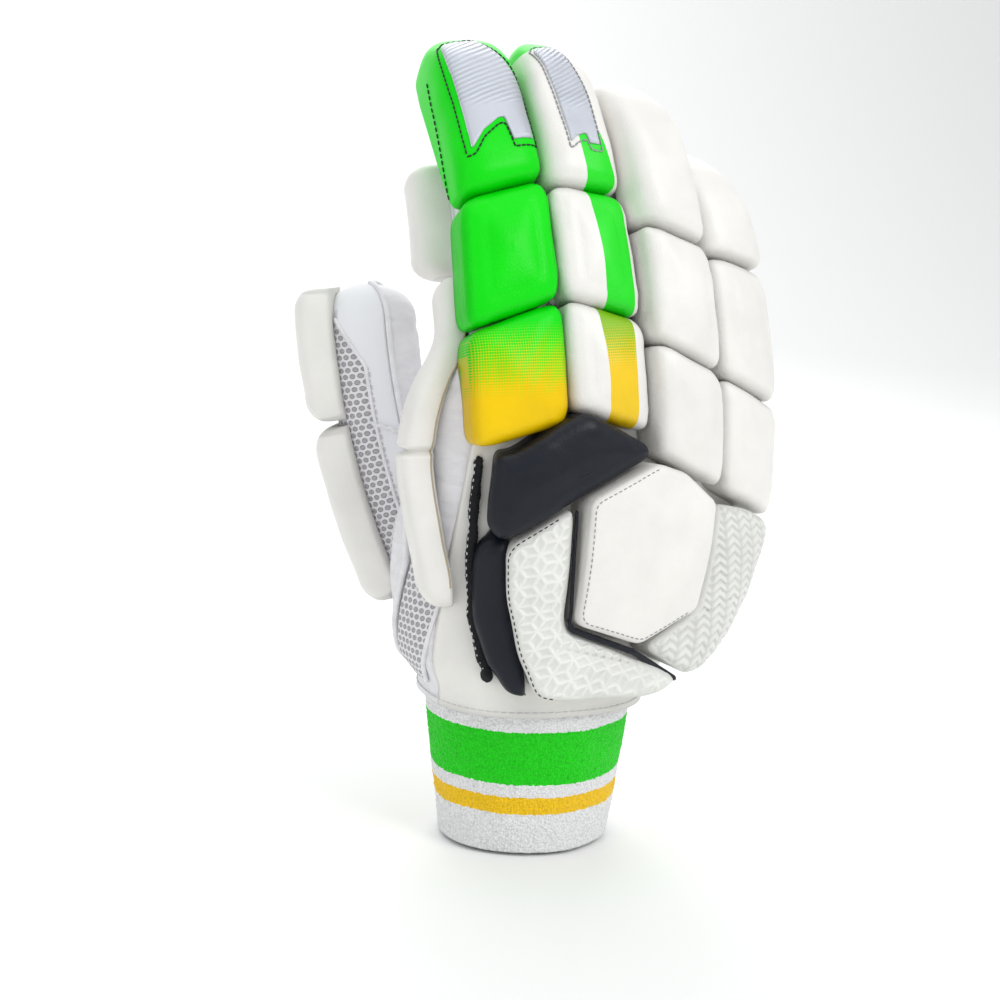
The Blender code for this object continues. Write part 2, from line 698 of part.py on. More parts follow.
def back_ridge(name, line, width, height):
    """A narrow strip along a line on the back of the hand; the line's third value scales it."""
    stations = np.array(line) * (HAND_WIDTH, HAND_HEIGHT, 1.0)
    steps = np.linalg.norm(np.diff(stations[:, :2], axis=0), axis=1)
    along = np.concatenate([[0.0], np.cumsum(steps)])
    total = along[-1]
    rows = []
    for f in (0.0, 0.04, 0.25, 0.5, 0.75, 0.96, 1.0):
        u, v, scale = [np.interp(f * total, along, stations[:, k]) for k in range(3)]
        ahead = [np.interp(min(f + 0.05, 1) * total, along, stations[:, k])
                 - np.interp(max(f - 0.05, 0) * total, along, stations[:, k]) for k in range(2)]
        side = np.array([-ahead[1], ahead[0]]) / math.hypot(*ahead)
        closing = end_rounding(f, total, width)

        def place(a, h, u=u, v=v, side=side):
            return on_hand(u + a * side[0], v + a * side[1], h)

        rows.append((place, width / 2 * scale * closing, -PAD_SINK, height * closing))
    return bar(name, rows)


def hand_reach(digit, s, h):
    """How far the thumb side of the hand lies from the line of a finger at s and h."""
    middle, direction, normal = digit.frame(s)
    level = float(middle[2])
    reach = 0.0
    for _ in range(4):
        ring = hand_ring(min(max(level, SKIRT_LEVEL), HAND_HEIGHT), range(240, 118, -3))
        heights = (ring - middle) @ normal
        sides = (ring - middle) @ digit.across
        reach = -float(np.interp(-h, -heights, sides))
        place = int(np.argmin(np.abs(heights - h)))
        level += float((middle - ring[place]) @ direction)
    return reach if level < HAND_HEIGHT else 0.0


def side_bar(name):
    """A padded bar along the thumb side of the index finger and of the hand below it."""
    digit = DIGITS["index"]
    first, last, foot_drop, drop, pad = SIDE_BARS[name]
    length = (last - first) * FINGER_LENGTH
    rows = []
    for f in (0.0, 0.02, 0.07, 0.25, 0.45, 0.65, 0.85, 0.97, 1.0):
        s = (first + (last - first) * f) * FINGER_LENGTH
        middle = -FINGER_DEPTH * float(np.interp(f, (0.0, BAR_BEND), (foot_drop, drop)))
        closing = end_rounding(f, length, BAR_WIDTH * 0.5)
        seat = max(digit.half_width(s), hand_reach(digit, s, middle))

        def place(a, h, s=s, middle=middle):
            return digit.point(s, -h, middle - a)

        rows.append((place, BAR_WIDTH / 2 * closing, seat - PAD_SINK, seat + pad * closing))
    return bar(name, rows)


def thumb_bar(name, first, last):
    """A padded bar over the back of the thumb."""
    length = (last - first) * THUMB_LENGTH
    rows = []
    for f in (0.0, 0.04, 0.12, 0.5, 0.88, 0.96, 1.0):
        s = (first + (last - first) * f) * THUMB_LENGTH
        closing = end_rounding(f, length, BAR_WIDTH * 0.5)
        half = (THUMB.half_width(s) + 2 * CLEARANCE) * (1 - THUMB_BAR_NARROW * (1 - closing))
        crest = THUMB.half_depth(s) + THUMB_PAD * closing

        def place(a, h, s=s):
            return THUMB.point(s, -a, h)

        rows.append((place, half, THUMB.half_depth(s) * THUMB_BAR_FOOT, crest))
    return bar(name, rows)


def wristband():
    """The towelling tube that the hand goes in through."""
    angles = [2 * math.pi * k / BAND_SIDES for k in range(BAND_SIDES)]
    rows = [(0.0, 0.35), (0.02, 0.0), (0.5, 0.0), (SKIRT_LEVEL / BAND_HEIGHT, 0.0), (1.0, 0.35)]
    outer, inner = [], []
    for share, hem in rows:
        level = share * BAND_HEIGHT
        reach = band_radius(level)
        for grid, radius in ((outer, reach - hem * BAND_WALL / 2),
                             (inner, reach - BAND_WALL + hem * BAND_WALL / 2)):
            depth = reach * WRIST_ROUNDNESS - (reach - radius)
            grid.append([(radius * math.cos(a), depth * math.sin(a), level) for a in angles])
    return wall("wristband", np.array(outer), np.array(inner), around=True)


def wrist_strap():
    """The strap across the palm side of the wristband, with a pointed free end."""
    outer, inner = [], []
    first, last = 2, 118
    for share in np.linspace(0, 1, 11):
        angle = math.radians(first + (last - first) * share)
        point = max(0.0, (share - 0.86) / 0.14)
        low = STRAP_FOOT + point * STRAP_HEIGHT * 0.18
        high = STRAP_FOOT + STRAP_HEIGHT * (1 - 0.18 * point)
        for grid, lift in ((inner, CLEARANCE), (outer, CLEARANCE + STRAP_THICKNESS)):
            line = []
            for level in np.linspace(low, high, 3):
                reach = band_radius(level)
                line.append(((reach + lift) * math.cos(angle),
                             (reach * WRIST_ROUNDNESS + lift) * math.sin(angle), level))
            grid.append(line)
    return wall("wrist_strap", np.array(outer), np.array(inner))


def build():
    clear_scene()
    hand = hand_form()
    forms, starts = {}, {}
    for name, digit in DIGITS.items():
        starts[name] = STALL_START * FINGER_LENGTH
        forms[name] = stall_form(name + "_form", digit, starts[name])
    thumb_form = stall_form("thumb_form", THUMB, THUMB_START * THUMB_LENGTH)
    stalls = list(forms.values()) + [thumb_form]

    finish(wristband(), WHITE, 0.95)
    finish(wrist_strap(), WHITE, 0.6)
    finish(cut(hand_strip("hand_back", -165, -15, -1), *stalls), WHITE, 0.6)
    finish(cut(hand_strip("palm", -15, 195, 1), *stalls), LEATHER, 0.7)

    for name, digit in {**DIGITS, "thumb": THUMB}.items():
        start = starts.get(name, THUMB_START * THUMB_LENGTH)
        finish(stall_strip(name + "_front", digit, start, 200, 340, -1), LEATHER, 0.7)
        finish(stall_strip(name + "_gusset", digit, start, -20, 200, 1), MESH_CLOTH, 0.9)

    feet = {}
    colours = {"index_base": YELLOW, "index_mid": GREEN, "index_tip": GREEN}
    for name in DIGITS:
        row = FINGER_ROWS[name]
        base_end, mid_end = row["base_end"] * FINGER_LENGTH, row["mid_end"] * FINGER_LENGTH
        grooves = [(0.0, row["slope_foot"]), (base_end, row["slope_base"]),
                   (mid_end, row["slope_mid"])]
        feet[name] = finger_pad(name, "base_form", grooves[:2], grow=2 * CLEARANCE)
        for part, ends in (("base", grooves[:2]), ("mid", grooves[1:])):
            pad = cut(finger_pad(name, part + "_pad", ends), forms[name], hand)
            finish(pad, colours.get(f"{name}_{part}", WHITE), 0.45)
        cutters = [forms[name]]
        if name in WINDOWS:
            panel, bed = window(name, *WINDOWS[name])
            finish(panel, SILVER, 0.3, 0.6)
            cutters.append(bed)
        finish(cut(tip_pad(name), *cutters), colours.get(f"{name}_tip", WHITE), 0.45)

    back_pieces(forms, feet, hand)
    thumb_pieces(thumb_form, hand)


def back_pieces(forms, feet, hand):
    """The padding on the back of the hand and along its thumb side."""
    finish(cut(hand_pad("knuckle_roll", KNUCKLE_ROLL, ROLL_MIDDLE, ROLL_PAD, ROLL_CORNER * HAND_WIDTH), hand,
               feet["index"], feet["middle"]), NAVY, 0.5)
    finish(cut(hand_pad("badge_pad", BADGE, BADGE_MIDDLE, BADGE_PAD, BLOCK_CORNER * HAND_WIDTH), hand,
               feet["middle"], feet["ring"]), WHITE, 0.45)
    corner = BLOCK_CORNER * HAND_WIDTH
    left = (LEFT_BLOCK, LEFT_BLOCK_MIDDLE, SIDE_PAD, corner)
    finish(cut(hand_pad("left_block", *left), hand), WHITE, 0.5)
    finish(cut(hand_pad("right_block", RIGHT_BLOCK, RIGHT_BLOCK_MIDDLE, EDGE_PAD,
                        EDGE_CORNER * HAND_WIDTH), hand,
               feet["ring"], feet["little"]), WHITE, 0.5)
    block = hand_pad("left_block_form", *left, grow=3 * CLEARANCE)
    panel = back_ridge("dark_panel", DARK_PANEL_LINE, DARK_PANEL_WIDTH, PANEL_PAD)
    finish(cut(panel, hand, block), NAVY, 0.5)
    finish(cut(back_ridge("edging", EDGING_LINE, PIPING, PIPING), hand), BLACK, 0.8)
    patch = hand_pad("heel_patch", HEEL_PATCH, HEEL_PATCH_MIDDLE, PATCH_SHEET,
                     EDGE_CORNER * HAND_WIDTH, 90)
    finish(cut(patch, hand), LEATHER, 0.7)
    for name in SIDE_BARS:
        finish(cut(side_bar(name), forms["index"], hand), WHITE, 0.45)


def thumb_pieces(thumb_form, hand):
    """The two padded bars over the back of the thumb."""
    for name, (first, last) in THUMB_BARS.items():
        finish(cut(thumb_bar(name, first, last), thumb_form, hand), WHITE, 0.45)


build()
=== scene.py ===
"""A right-hand cricket batting glove seen from the back of the hand.

It is made in the order that the real one is sewn: the towelling wristband and its strap,
the leather and mesh stalls, the hand shell, then the foam-filled blocks, bars and trims.
Lengths are in metres, +Z runs up the fingers and -Y is the back of the hand.
"""

import functools
import math

import bmesh
import bpy
import numpy as np
from mathutils import Matrix, Vector, bvhtree, kdtree, noise


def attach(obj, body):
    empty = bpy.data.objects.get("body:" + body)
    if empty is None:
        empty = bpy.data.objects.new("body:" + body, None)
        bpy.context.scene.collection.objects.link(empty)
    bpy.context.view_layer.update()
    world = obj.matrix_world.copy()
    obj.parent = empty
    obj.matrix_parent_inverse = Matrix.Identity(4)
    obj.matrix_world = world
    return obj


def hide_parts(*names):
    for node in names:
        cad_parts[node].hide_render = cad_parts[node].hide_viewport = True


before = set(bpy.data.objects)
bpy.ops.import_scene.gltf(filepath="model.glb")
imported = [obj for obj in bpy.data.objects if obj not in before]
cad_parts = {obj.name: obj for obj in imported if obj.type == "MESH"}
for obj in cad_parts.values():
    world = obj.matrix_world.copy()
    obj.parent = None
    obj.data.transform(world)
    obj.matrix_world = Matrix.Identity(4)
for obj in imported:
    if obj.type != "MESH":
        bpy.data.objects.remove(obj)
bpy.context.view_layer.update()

# The view of the photograph: about 0.7 m in front of the glove, a little to its thumb
# side and above its middle, through a lens of 64 mm on a 36 mm wide sensor.
VIEW_FROM = Vector((-0.26499, -0.63848, 0.25794))
YAW, PITCH, ROLL = 0.37220, 0.17739, 0.04496
ahead = Vector((math.sin(YAW) * math.cos(PITCH), math.cos(YAW) * math.cos(PITCH), -math.sin(PITCH)))
level_right = Vector((math.cos(YAW), -math.sin(YAW), 0.0))
level_up = level_right.cross(ahead)
right = math.cos(ROLL) * level_right + math.sin(ROLL) * level_up
up = -math.sin(ROLL) * level_right + math.cos(ROLL) * level_up
camera = bpy.data.objects.new("camera", bpy.data.cameras.new("camera"))
camera.data.lens, camera.data.sensor_width = 64.13, 36.0
camera.matrix_world = Matrix.Translation(VIEW_FROM) @ Matrix((right, up, -ahead)).transposed().to_4x4()
bpy.context.scene.collection.objects.link(camera)
bpy.context.scene.camera = camera
bpy.context.scene.view_settings.view_transform = "Standard"


# Studio: a pale matt floor that sweeps up behind, lit from a white room and by large soft
# boxes, the strongest above the fingers.
def linear(shade):
    """The linear colour of an sRGB hex value."""
    parts = [int(shade[k:k + 2], 16) / 255 for k in (1, 3, 5)]
    return [c / 12.92 if c <= 0.04045 else ((c + 0.055) / 1.055) ** 2.4 for c in parts] + [1.0]


# What a node gives when it is linked by itself, where that isn't its first output, and the
# settings of the two ways in which colours are mixed.
MAIN_OUTPUT = {"TexCoord": "Object", "Attribute": "Fac", "VectorMath": "Value", "Mix": 2}
MIXED = {"data_type": "RGBA"}
DARKENED = {"data_type": "RGBA", "blend_type": "MULTIPLY", 0: 1.0}


def wire(material, node, settings, links):
    """Sets a node's values, and links its inputs to nodes or outputs or gives them hex colours."""
    for key, value in dict(settings).items():
        if isinstance(key, str) and key[0].islower():
            setattr(node, key, value)
        else:
            node.inputs[key].default_value = value
    for key, source in dict(links).items():
        if isinstance(source, str):
            node.inputs[key].default_value = linear(source)
            continue
        if isinstance(source, bpy.types.Node):
            source = source.outputs[MAIN_OUTPUT.get(source.bl_idname.removeprefix("ShaderNode"), 0)]
        material.node_tree.links.new(source, node.inputs[key])
    return node


def add(material, kind, settings=(), links=()):
    """Adds a shader node, set and linked."""
    return wire(material, material.node_tree.nodes.new("ShaderNode" + kind), settings, links)


def new_material(name):
    material = bpy.data.materials.new(name)
    material.use_nodes = True
    return material, material.node_tree.nodes["Principled BSDF"]


def form(name, points, faces, material, facts=None):
    """A smooth-shaded mesh object; facts are named values kept at its points."""
    mesh = bpy.data.meshes.new(name)
    mesh.from_pydata(np.asarray(points).reshape(-1, 3).tolist(), [], faces)
    for key, values in (facts or {}).items():
        held = mesh.attributes.new(key, "FLOAT", "POINT")
        held.data.foreach_set("value", np.asarray(values, np.float32).ravel())
    mesh.materials.append(material)
    mesh.shade_smooth()
    obj = bpy.data.objects.new(name, mesh)
    bpy.context.scene.collection.objects.link(obj)
    return obj


# A rough matt paper, barely uneven in tone, so that no glints draw the eye to the floor.
SWEEP_NEAR, SWEEP_FAR, SWEEP_RADIUS, SWEEP_TOP = -3.0, 2.2, 1.2, 3.5
SWEEP_HALF_WIDTH, SWEEP_DROP = 4.0, 0.0012
paper, shader = new_material("matt studio paper")
tone = add(paper, "TexNoise", {"Scale": 1.4, "Detail": 2.0})
blend = add(paper, "Mix", MIXED, {0: tone, 6: "#F3F3F2", 7: "#F7F7F6"})
wire(paper, shader, {"Roughness": 0.9}, {"Base Color": blend})
profile = [(SWEEP_NEAR, 0.0), (SWEEP_FAR - SWEEP_RADIUS, 0.0)]
for k in range(1, 13):
    turn = math.pi / 2 * k / 12
    profile.append((SWEEP_FAR - SWEEP_RADIUS * (1 - math.sin(turn)),
                    SWEEP_RADIUS * (1 - math.cos(turn))))
profile.append((SWEEP_FAR, SWEEP_TOP))
sweep = [(x, y, z - SWEEP_DROP) for y, z in profile for x in (-SWEEP_HALF_WIDTH, SWEEP_HALF_WIDTH)]
sweep_faces = [(2 * k, 2 * k + 1, 2 * k + 3, 2 * k + 2) for k in range(len(profile) - 1)]
form("studio_floor", sweep, sweep_faces, paper)
world = bpy.context.scene.world or bpy.data.worlds.new("white room")
bpy.context.scene.world = world
world.use_nodes = True
world.node_tree.nodes["Background"].inputs[0].default_value = linear("#F6F8FA")
world.node_tree.nodes["Background"].inputs[1].default_value = 0.70
GLOVE_MIDDLE, BACKDROP = (0.0, 0.0, 0.17), (0.0, 1.9, 0.2)
for name, place, target, size, power in (
    ("key_box", (0.55, -1.05, 1.05), GLOVE_MIDDLE, 0.7, 8.0),
    ("left_box", (-1.15, -0.75, 0.60), GLOVE_MIDDLE, 0.8, 1.4),
    ("top_box", (-0.20, -0.10, 1.30), GLOVE_MIDDLE, 0.8, 2.4),
    ("rear_box", (0.35, 1.05, 0.85), GLOVE_MIDDLE, 0.9, 5.0),
    ("backdrop_box", (0.0, 1.2, 1.6), BACKDROP, 1.4, 12.0),
):
    lamp = bpy.data.objects.new(name, bpy.data.lights.new(name, "AREA"))
    lamp.data.size, lamp.data.energy = size, power
    lamp.location = place
    lamp.rotation_euler = (Vector(target) - lamp.location).to_track_quat("-Z", "Y").to_euler()
    bpy.context.scene.collection.objects.link(lamp)

# The wristband is a tube of looped cotton towelling, knitted in white with a green and a
# yellow band and turned in at its hem. Its cut top edge is sewn in under the hand shell.
CLEARANCE = 0.0003
SKIRT_LEVEL = 0.058
BAND_HEIGHT, BAND_WALL = 0.063, 0.0035
WRIST_WIDTH, WRIST_FLARE, WRIST_ROUNDNESS = 0.070, 0.0138, 0.919
BAND_SIDES, HEM_TURN = 460, 0.0014
LOOP_PITCH = 0.00095
YELLOW_BAND, GREEN_BAND = (0.0168, 0.0239), (0.0292, 0.0509)


def grid_faces(rows, columns, around=False, first=0):
    """Four-sided faces over a grid of points."""
    spans = columns if around else columns - 1
    row, column = np.mgrid[0:rows - 1, 0:spans]
    after = (column + 1) % columns
    at = first + row * columns
    corners = (at + column, at + after, at + columns + after, at + columns + column)
    return np.stack(corners, axis=-1).reshape(-1, 4).tolist()


def placed(piece, node=None):
    """Lets a finished piece ride on the glove, in the place of its plain solid."""
    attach(piece, "root")
    if node:
        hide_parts(*([node] if isinstance(node, str) else node))
    return piece


def rumple(points, depth, grain, seed=0.0):
    """How far soft noise lifts each point, up to about the depth, on lumps of the grain's size."""
    flat = np.asarray(points).reshape(-1, 3) / grain + seed
    return depth * np.array([noise.noise(Vector(p)) for p in flat]).reshape(np.shape(points)[:-1])


def banded(material, ground, place, bands):
    """The ground's colour, with another one wherever the place lies in a band."""
    for low, high, shade in bands:
        above = add(material, "Math", {"operation": "GREATER_THAN", 1: low}, {0: place})
        below = add(material, "Math", {"operation": "LESS_THAN", 1: high}, {0: place})
        inside = add(material, "Math", {"operation": "MULTIPLY"}, {0: above, 1: below})
        ground = add(material, "Mix", MIXED, {0: inside, 6: ground, 7: shade})
    return ground


def band_radius(level):
    return WRIST_WIDTH / 2 + WRIST_FLARE / 2 * np.minimum(level / SKIRT_LEVEL, 1.0)


# Cotton loops scatter light softly, so it is almost fully rough, with a little sheen, and the
# colour is painted darker in the pits between the loops as the shade that falls there.
towelling, shader = new_material("looped cotton towelling")
place = add(towelling, "TexCoord")
wobble = add(towelling, "TexNoise", {"Scale": 900.0, "Detail": 1.0}, {"Vector": place})
spot = add(towelling, "SeparateXYZ", {}, {0: place})
shift = add(towelling, "Math", {"operation": "MULTIPLY_ADD", 1: 0.0016, 2: -0.0008}, {0: wobble})
height = add(towelling, "Math", {"operation": "ADD"}, {0: spot.outputs["Z"], 1: shift})
striped = banded(towelling, "#F1F1F2", height, ((*GREEN_BAND, "#12D804"), (*YELLOW_BAND, "#FFCE10")))
loops = add(towelling, "TexVoronoi", {"Scale": 1.0 / LOOP_PITCH, "Randomness": 0.75}, {"Vector": place})
# Painted shade: the colour darkens by up to a fifth in the sunk pits between the loops.
painted_pit_shade = add(towelling, "MapRange", {1: 0.30, 2: 0.85, 3: 1.0, 4: 0.78}, {0: loops})
deep = add(towelling, "Mix", DARKENED, {6: striped, 7: painted_pit_shade})
loop_bump = add(towelling, "Bump", {"invert": True, "Strength": 0.8, "Distance": 0.0006},
                {"Height": loops})
wire(towelling, shader, {"Roughness": 0.95, "Sheen Weight": 0.12},
     {"Base Color": deep, "Normal": loop_bump})

turns = np.linspace(0, 2 * math.pi, BAND_SIDES, endpoint=False)
outside = [(level, 0.0) for level in np.linspace(HEM_TURN, BAND_HEIGHT - 0.001, 116)]
hem = [(HEM_TURN * (1 - math.sin(t)), BAND_WALL / 2 * (1 - math.cos(t)))
       for t in np.linspace(0.3, math.pi / 2, 4)]
inside_wall = [(level, BAND_WALL) for level in np.linspace(0.001, BAND_HEIGHT - 0.001, 14)]
band_rows = outside[::-1] + hem + inside_wall
rings = []
for level, depth in band_rows:
    reach = band_radius(level)
    rings.append(np.stack([(reach - depth) * np.cos(turns),
                           (reach * WRIST_ROUNDNESS - depth) * np.sin(turns),
                           np.full(BAND_SIDES, level)], axis=1))
rings = np.array(rings)
radial = rings * (1, 1, 0) / np.linalg.norm(rings * (1, 1, 0), axis=2, keepdims=True)
fuzz = rumple(rings, 0.0006, LOOP_PITCH * 0.85) + rumple(rings, 0.0009, 0.018, 5.0) - 0.0004
rings += radial * fuzz[..., None]
band_faces = grid_faces(len(rings), BAND_SIDES, around=True)
last = (len(rings) - 1) * BAND_SIDES
for k in range(BAND_SIDES):
    after = (k + 1) % BAND_SIDES
    band_faces.append((k, last + k, last + after, after))
placed(form("towelling_wristband", rings, band_faces, towelling), "wristband")

# The wrist strap is a band of white coated fabric over hook-and-loop tape. It is sewn to
# the little-finger side and folds over the palm side to a pointed end.
STRAP_FOOT, STRAP_HEIGHT, STRAP_THICKNESS = 0.011, 0.044, 0.0025
STRAP_TURNS, STRAP_POINT = (2.0, 118.0), 0.14
STRAP_GREEN, STRAP_YELLOW = (0.10, 0.17), (0.19, 0.22)


def coated(name, shade, roughness=0.42, grain=0.0010, depth=0.00010, crease=0.0006, gloss=0.5):
    """Coated synthetic leather, rolled with a fine grain, that puckers toward its seams.

    Its point value "seam" is 1 along a sewn edge and falls to 0 in the middle of a panel, and the
    colour is painted darker toward it as the shade along the seams. The thin plastic coat gives it
    a soft shine, with small glints on the grain.
    """
    material, shader = new_material(name)
    place = add(material, "TexCoord")
    seam = add(material, "Attribute", {"attribute_name": "seam"})
    pebble = add(material, "TexVoronoi", {"Scale": 1 / grain}, {"Vector": place})
    stain = add(material, "TexNoise", {"Scale": 55.0, "Detail": 4.0}, {"Vector": place})
    pucker = add(material, "TexNoise", {"Scale": 190.0, "Detail": 3.0, "Distortion": 0.8},
                 {"Vector": place})
    near = add(material, "MapRange", {1: 0.35, 2: 1.0, 3: 0.0, 4: 1.0}, {0: seam})
    folded = add(material, "Math", {"operation": "MULTIPLY"}, {0: pucker, 1: near})
    fold_bump = add(material, "Bump", {"Strength": 0.8, "Distance": crease}, {"Height": folded})
    grain_bump = add(material, "Bump", {"Strength": 0.55, "Distance": depth},
                     {"Height": pebble, "Normal": fold_bump})
    toned = add(material, "MapRange", {1: 0.3, 2: 0.8, 3: 0.93, 4: 1.03}, {0: stain})
    # Painted shade: the colour darkens by up to a fifth toward the seams, where shade falls.
    painted_shade = add(material, "MapRange", {1: 0.55, 2: 1.0, 3: 1.0, 4: 0.80}, {0: seam})
    shade_by = add(material, "Math", {"operation": "MULTIPLY"}, {0: toned, 1: painted_shade})
    base_colour = add(material, "Mix", DARKENED, {6: shade, 7: shade_by})
    rough = add(material, "MapRange", {1: 0.2, 2: 0.8, 3: roughness - 0.05, 4: roughness + 0.08},
                {0: stain})
    wire(material, shader, {"IOR": 1.5, "Specular IOR Level": gloss},
         {"Base Color": base_colour, "Roughness": rough, "Normal": grain_bump})
    return material, base_colour


WHITE_SHADE, GREEN_SHADE, YELLOW_SHADE, NAVY_SHADE = "#EBE9E4", "#00DE08", "#F2C900", "#0F141F"
strap_white, base_colour = coated("white coated strap fabric", WHITE_SHADE, 0.5)
stretch = add(strap_white, "Attribute", {"attribute_name": "along"})
striped = banded(strap_white, WHITE_SHADE, stretch,
                 ((*STRAP_GREEN, GREEN_SHADE), (*STRAP_YELLOW, YELLOW_SHADE)))
wire(strap_white, base_colour, {}, {6: striped})


def strap_point(share, across, lift):
    """A point of the strap: share along it, across from -1 to 1 and lift off the band."""
    share, across, lift = np.broadcast_arrays(share, across, lift)
    angle = np.radians(STRAP_TURNS[0] + (STRAP_TURNS[1] - STRAP_TURNS[0]) * share)
    tip = np.clip((share - (1 - STRAP_POINT)) / STRAP_POINT, 0, 1)
    half = STRAP_HEIGHT / 2 * (1 - 0.36 * tip)
    level = STRAP_FOOT + STRAP_HEIGHT / 2 + across * half
    reach = band_radius(level)
    return np.stack([(reach + lift) * np.cos(angle),
                     (reach * WRIST_ROUNDNESS + lift) * np.sin(angle), level], axis=-1)


def slab(name, place, first, second, thickness, lift, material, facts=None):
    """A thin sheet over two shares from 0 to 1, with rounded edges; place gives its points."""
    a, b = np.meshgrid(np.linspace(0, 1, first), np.linspace(0, 1, second), indexing="ij")
    closeness = np.minimum(np.minimum(a, 1 - a) * (first - 1), np.minimum(b, 1 - b) * (second - 1))
    rise = np.interp(closeness, [0, 1, 2], [0.35, 0.85, 1.0])
    top, foot = place(a, b, lift + thickness * rise), place(a, b, np.full(a.shape, lift))
    points = np.concatenate([top.reshape(-1, 3), foot.reshape(-1, 3)])
    count = first * second
    faces = grid_faces(first, second) + [f[::-1] for f in grid_faces(first, second, first=count)]
    ring = ([(i, 0) for i in range(first)] + [(first - 1, j) for j in range(1, second)]
            + [(i, second - 1) for i in range(first - 2, -1, -1)]
            + [(0, j) for j in range(second - 2, 0, -1)])
    ring = [i * second + j for i, j in ring]
    for k, here in enumerate(ring):
        after = ring[(k + 1) % len(ring)]
        faces.append((after, here, here + count, after + count))
    seam = np.clip(1 - closeness / 4, 0, 1)
    values = {"seam": np.concatenate([seam.ravel()] * 2)}
    for key, value in (facts(a, b) if facts else {}).items():
        values[key] = np.concatenate([value.ravel()] * 2)
    return form(name, points, faces, material, values)


strap = slab("wrist_strap_cover", lambda a, b, lift: strap_point(a, 2 * b - 1, lift), 90, 34,
             STRAP_THICKNESS, CLEARANCE, strap_white, lambda a, b: {"along": a})
placed(strap, "wrist_strap")

# The strap's edge is sewn with waxed polyester thread. Here and further on it is drawn as
# single stitches that sink at both ends into their holes, and it is matt with a fine twist.
THREAD, STITCH_STEP = 0.00032, 0.0002


def thread_of(name, shade):
    material, shader = new_material(name)
    strands = add(material, "TexWave", {"Scale": 900.0, "Distortion": 1.0})
    twist = add(material, "Bump", {"Strength": 0.4, "Distance": 0.0001}, {"Height": strands})
    worn = add(material, "TexNoise", {"Scale": 260.0})
    shaded = add(material, "MapRange", {3: 0.8, 4: 1.1}, {0: worn})
    base_colour = add(material, "Mix", DARKENED, {6: shade, 7: shaded})
    wire(material, shader, {"Roughness": 0.6}, {"Base Color": base_colour, "Normal": twist})
    return material


WHITE_THREAD = thread_of("white polyester thread", "#DDDDDC")
BLACK_THREAD = thread_of("black polyester thread", "#15161A")
GREY_THREAD = thread_of("grey polyester thread", "#9B9CA0")


def run_of(path):
    """How far along a path each of its points lies."""
    return np.concatenate([[0], np.cumsum(np.linalg.norm(np.diff(path, axis=0), axis=1))])


def sampled(path, places, along):
    """The path's points at places along it."""
    return np.stack([np.interp(places, along, column) for column in np.transpose(path)], axis=1)


def evened(path, step):
    """The path with points this far apart."""
    along = run_of(path)
    return sampled(path, np.linspace(0, along[-1], max(int(along[-1] / step), 2)), along)


def stitches(name, path, material, length=0.0022, gap=0.0009, thread=THREAD):
    """A row of lock stitches along a path."""
    ends = evened(path, STITCH_STEP)
    step = max(int((length + gap) / STITCH_STEP), 2)
    stay = max(int(length / STITCH_STEP), 1)
    ring = [(math.cos(t), math.sin(t)) for t in np.linspace(0, 2 * math.pi, 6, endpoint=False)]
    points, faces = [], []
    for k in range(0, len(ends) - stay, step):
        start, stop = ends[k], ends[k + stay]
        way = (stop - start) / (np.linalg.norm(stop - start) + 1e-9)
        one = np.cross(way, (0.31, 0.27, 0.91))
        one /= np.linalg.norm(one)
        two = np.cross(way, one)
        first = len(points)
        for f, wide in ((0.0, 0.45), (0.18, 1.0), (0.82, 1.0), (1.0, 0.45)):
            middle = start + (stop - start) * f
            points += [middle + thread * wide * (c * one + s * two) for c, s in ring]
        faces += grid_faces(4, 6, around=True, first=first)
        faces.append(tuple(range(first, first + 6)))
        faces.append(tuple(range(first + 23, first + 17, -1)))
    return placed(form(name, points, faces, material))


def cord_along(name, path, radius, material, sides=10):
    """A round cord along a path, closed at its ends."""
    path = evened(path, radius * 0.7)
    ahead = np.gradient(path, axis=0)
    ahead /= np.linalg.norm(ahead, axis=1, keepdims=True)
    one = np.cross(ahead, (0.23, 0.41, 0.88))
    one /= np.linalg.norm(one, axis=1, keepdims=True)
    two = np.cross(ahead, one)
    turns = np.linspace(0, 2 * math.pi, sides, endpoint=False)
    shrink = np.ones(len(path))
    shrink[[0, -1]], shrink[[1, -2]] = 0.35, 0.8
    rings = path[:, None] + radius * shrink[:, None, None] * (
        np.cos(turns)[None, :, None] * one[:, None] + np.sin(turns)[None, :, None] * two[:, None])
    faces = grid_faces(len(path), sides, around=True)
    last = (len(path) - 1) * sides
    faces += [tuple(range(sides))[::-1], tuple(range(last, last + sides))]
    return placed(form(name, rings, faces, material, {"seam": np.zeros(len(path) * sides)}))


def laid_on(piece, path, lift):
    """Points laid on a piece's surface nearest to them, with a lift off it."""
    corners = [v.co for v in piece.data.vertices]
    tree = bvhtree.BVHTree.FromPolygons(corners, [list(f.vertices) for f in piece.data.polygons])
    centre = sum(corners, Vector()) / len(corners)
    flat, lifts = np.reshape(path, (-1, 3)), np.broadcast_to(lift, np.shape(path)[:-1]).ravel()
    laid = []
    for point, rise in zip(flat, lifts):
        place, normal, _, _ = tree.find_nearest(Vector(point))
        if normal.dot(place - centre) < 0:
            normal = -normal
        laid.append(place + normal * float(rise))
    return np.array(laid).reshape(np.shape(path))


strap_edge = [(0.04, -0.9), (0.30, -0.9), (0.60, -0.9), (0.86, -0.9), (0.975, -0.87), (0.975, 0.87),
              (0.86, 0.9), (0.60, 0.9), (0.30, 0.9), (0.04, 0.9), (0.04, -0.9)]
corners = np.arange(len(strap_edge))
share, across = sampled(strap_edge, np.linspace(0, corners[-1], 400), corners).T
strap_line = strap_point(share, across, CLEARANCE + STRAP_THICKNESS)
stitches("strap_edge_stitching", strap_line, GREY_THREAD)

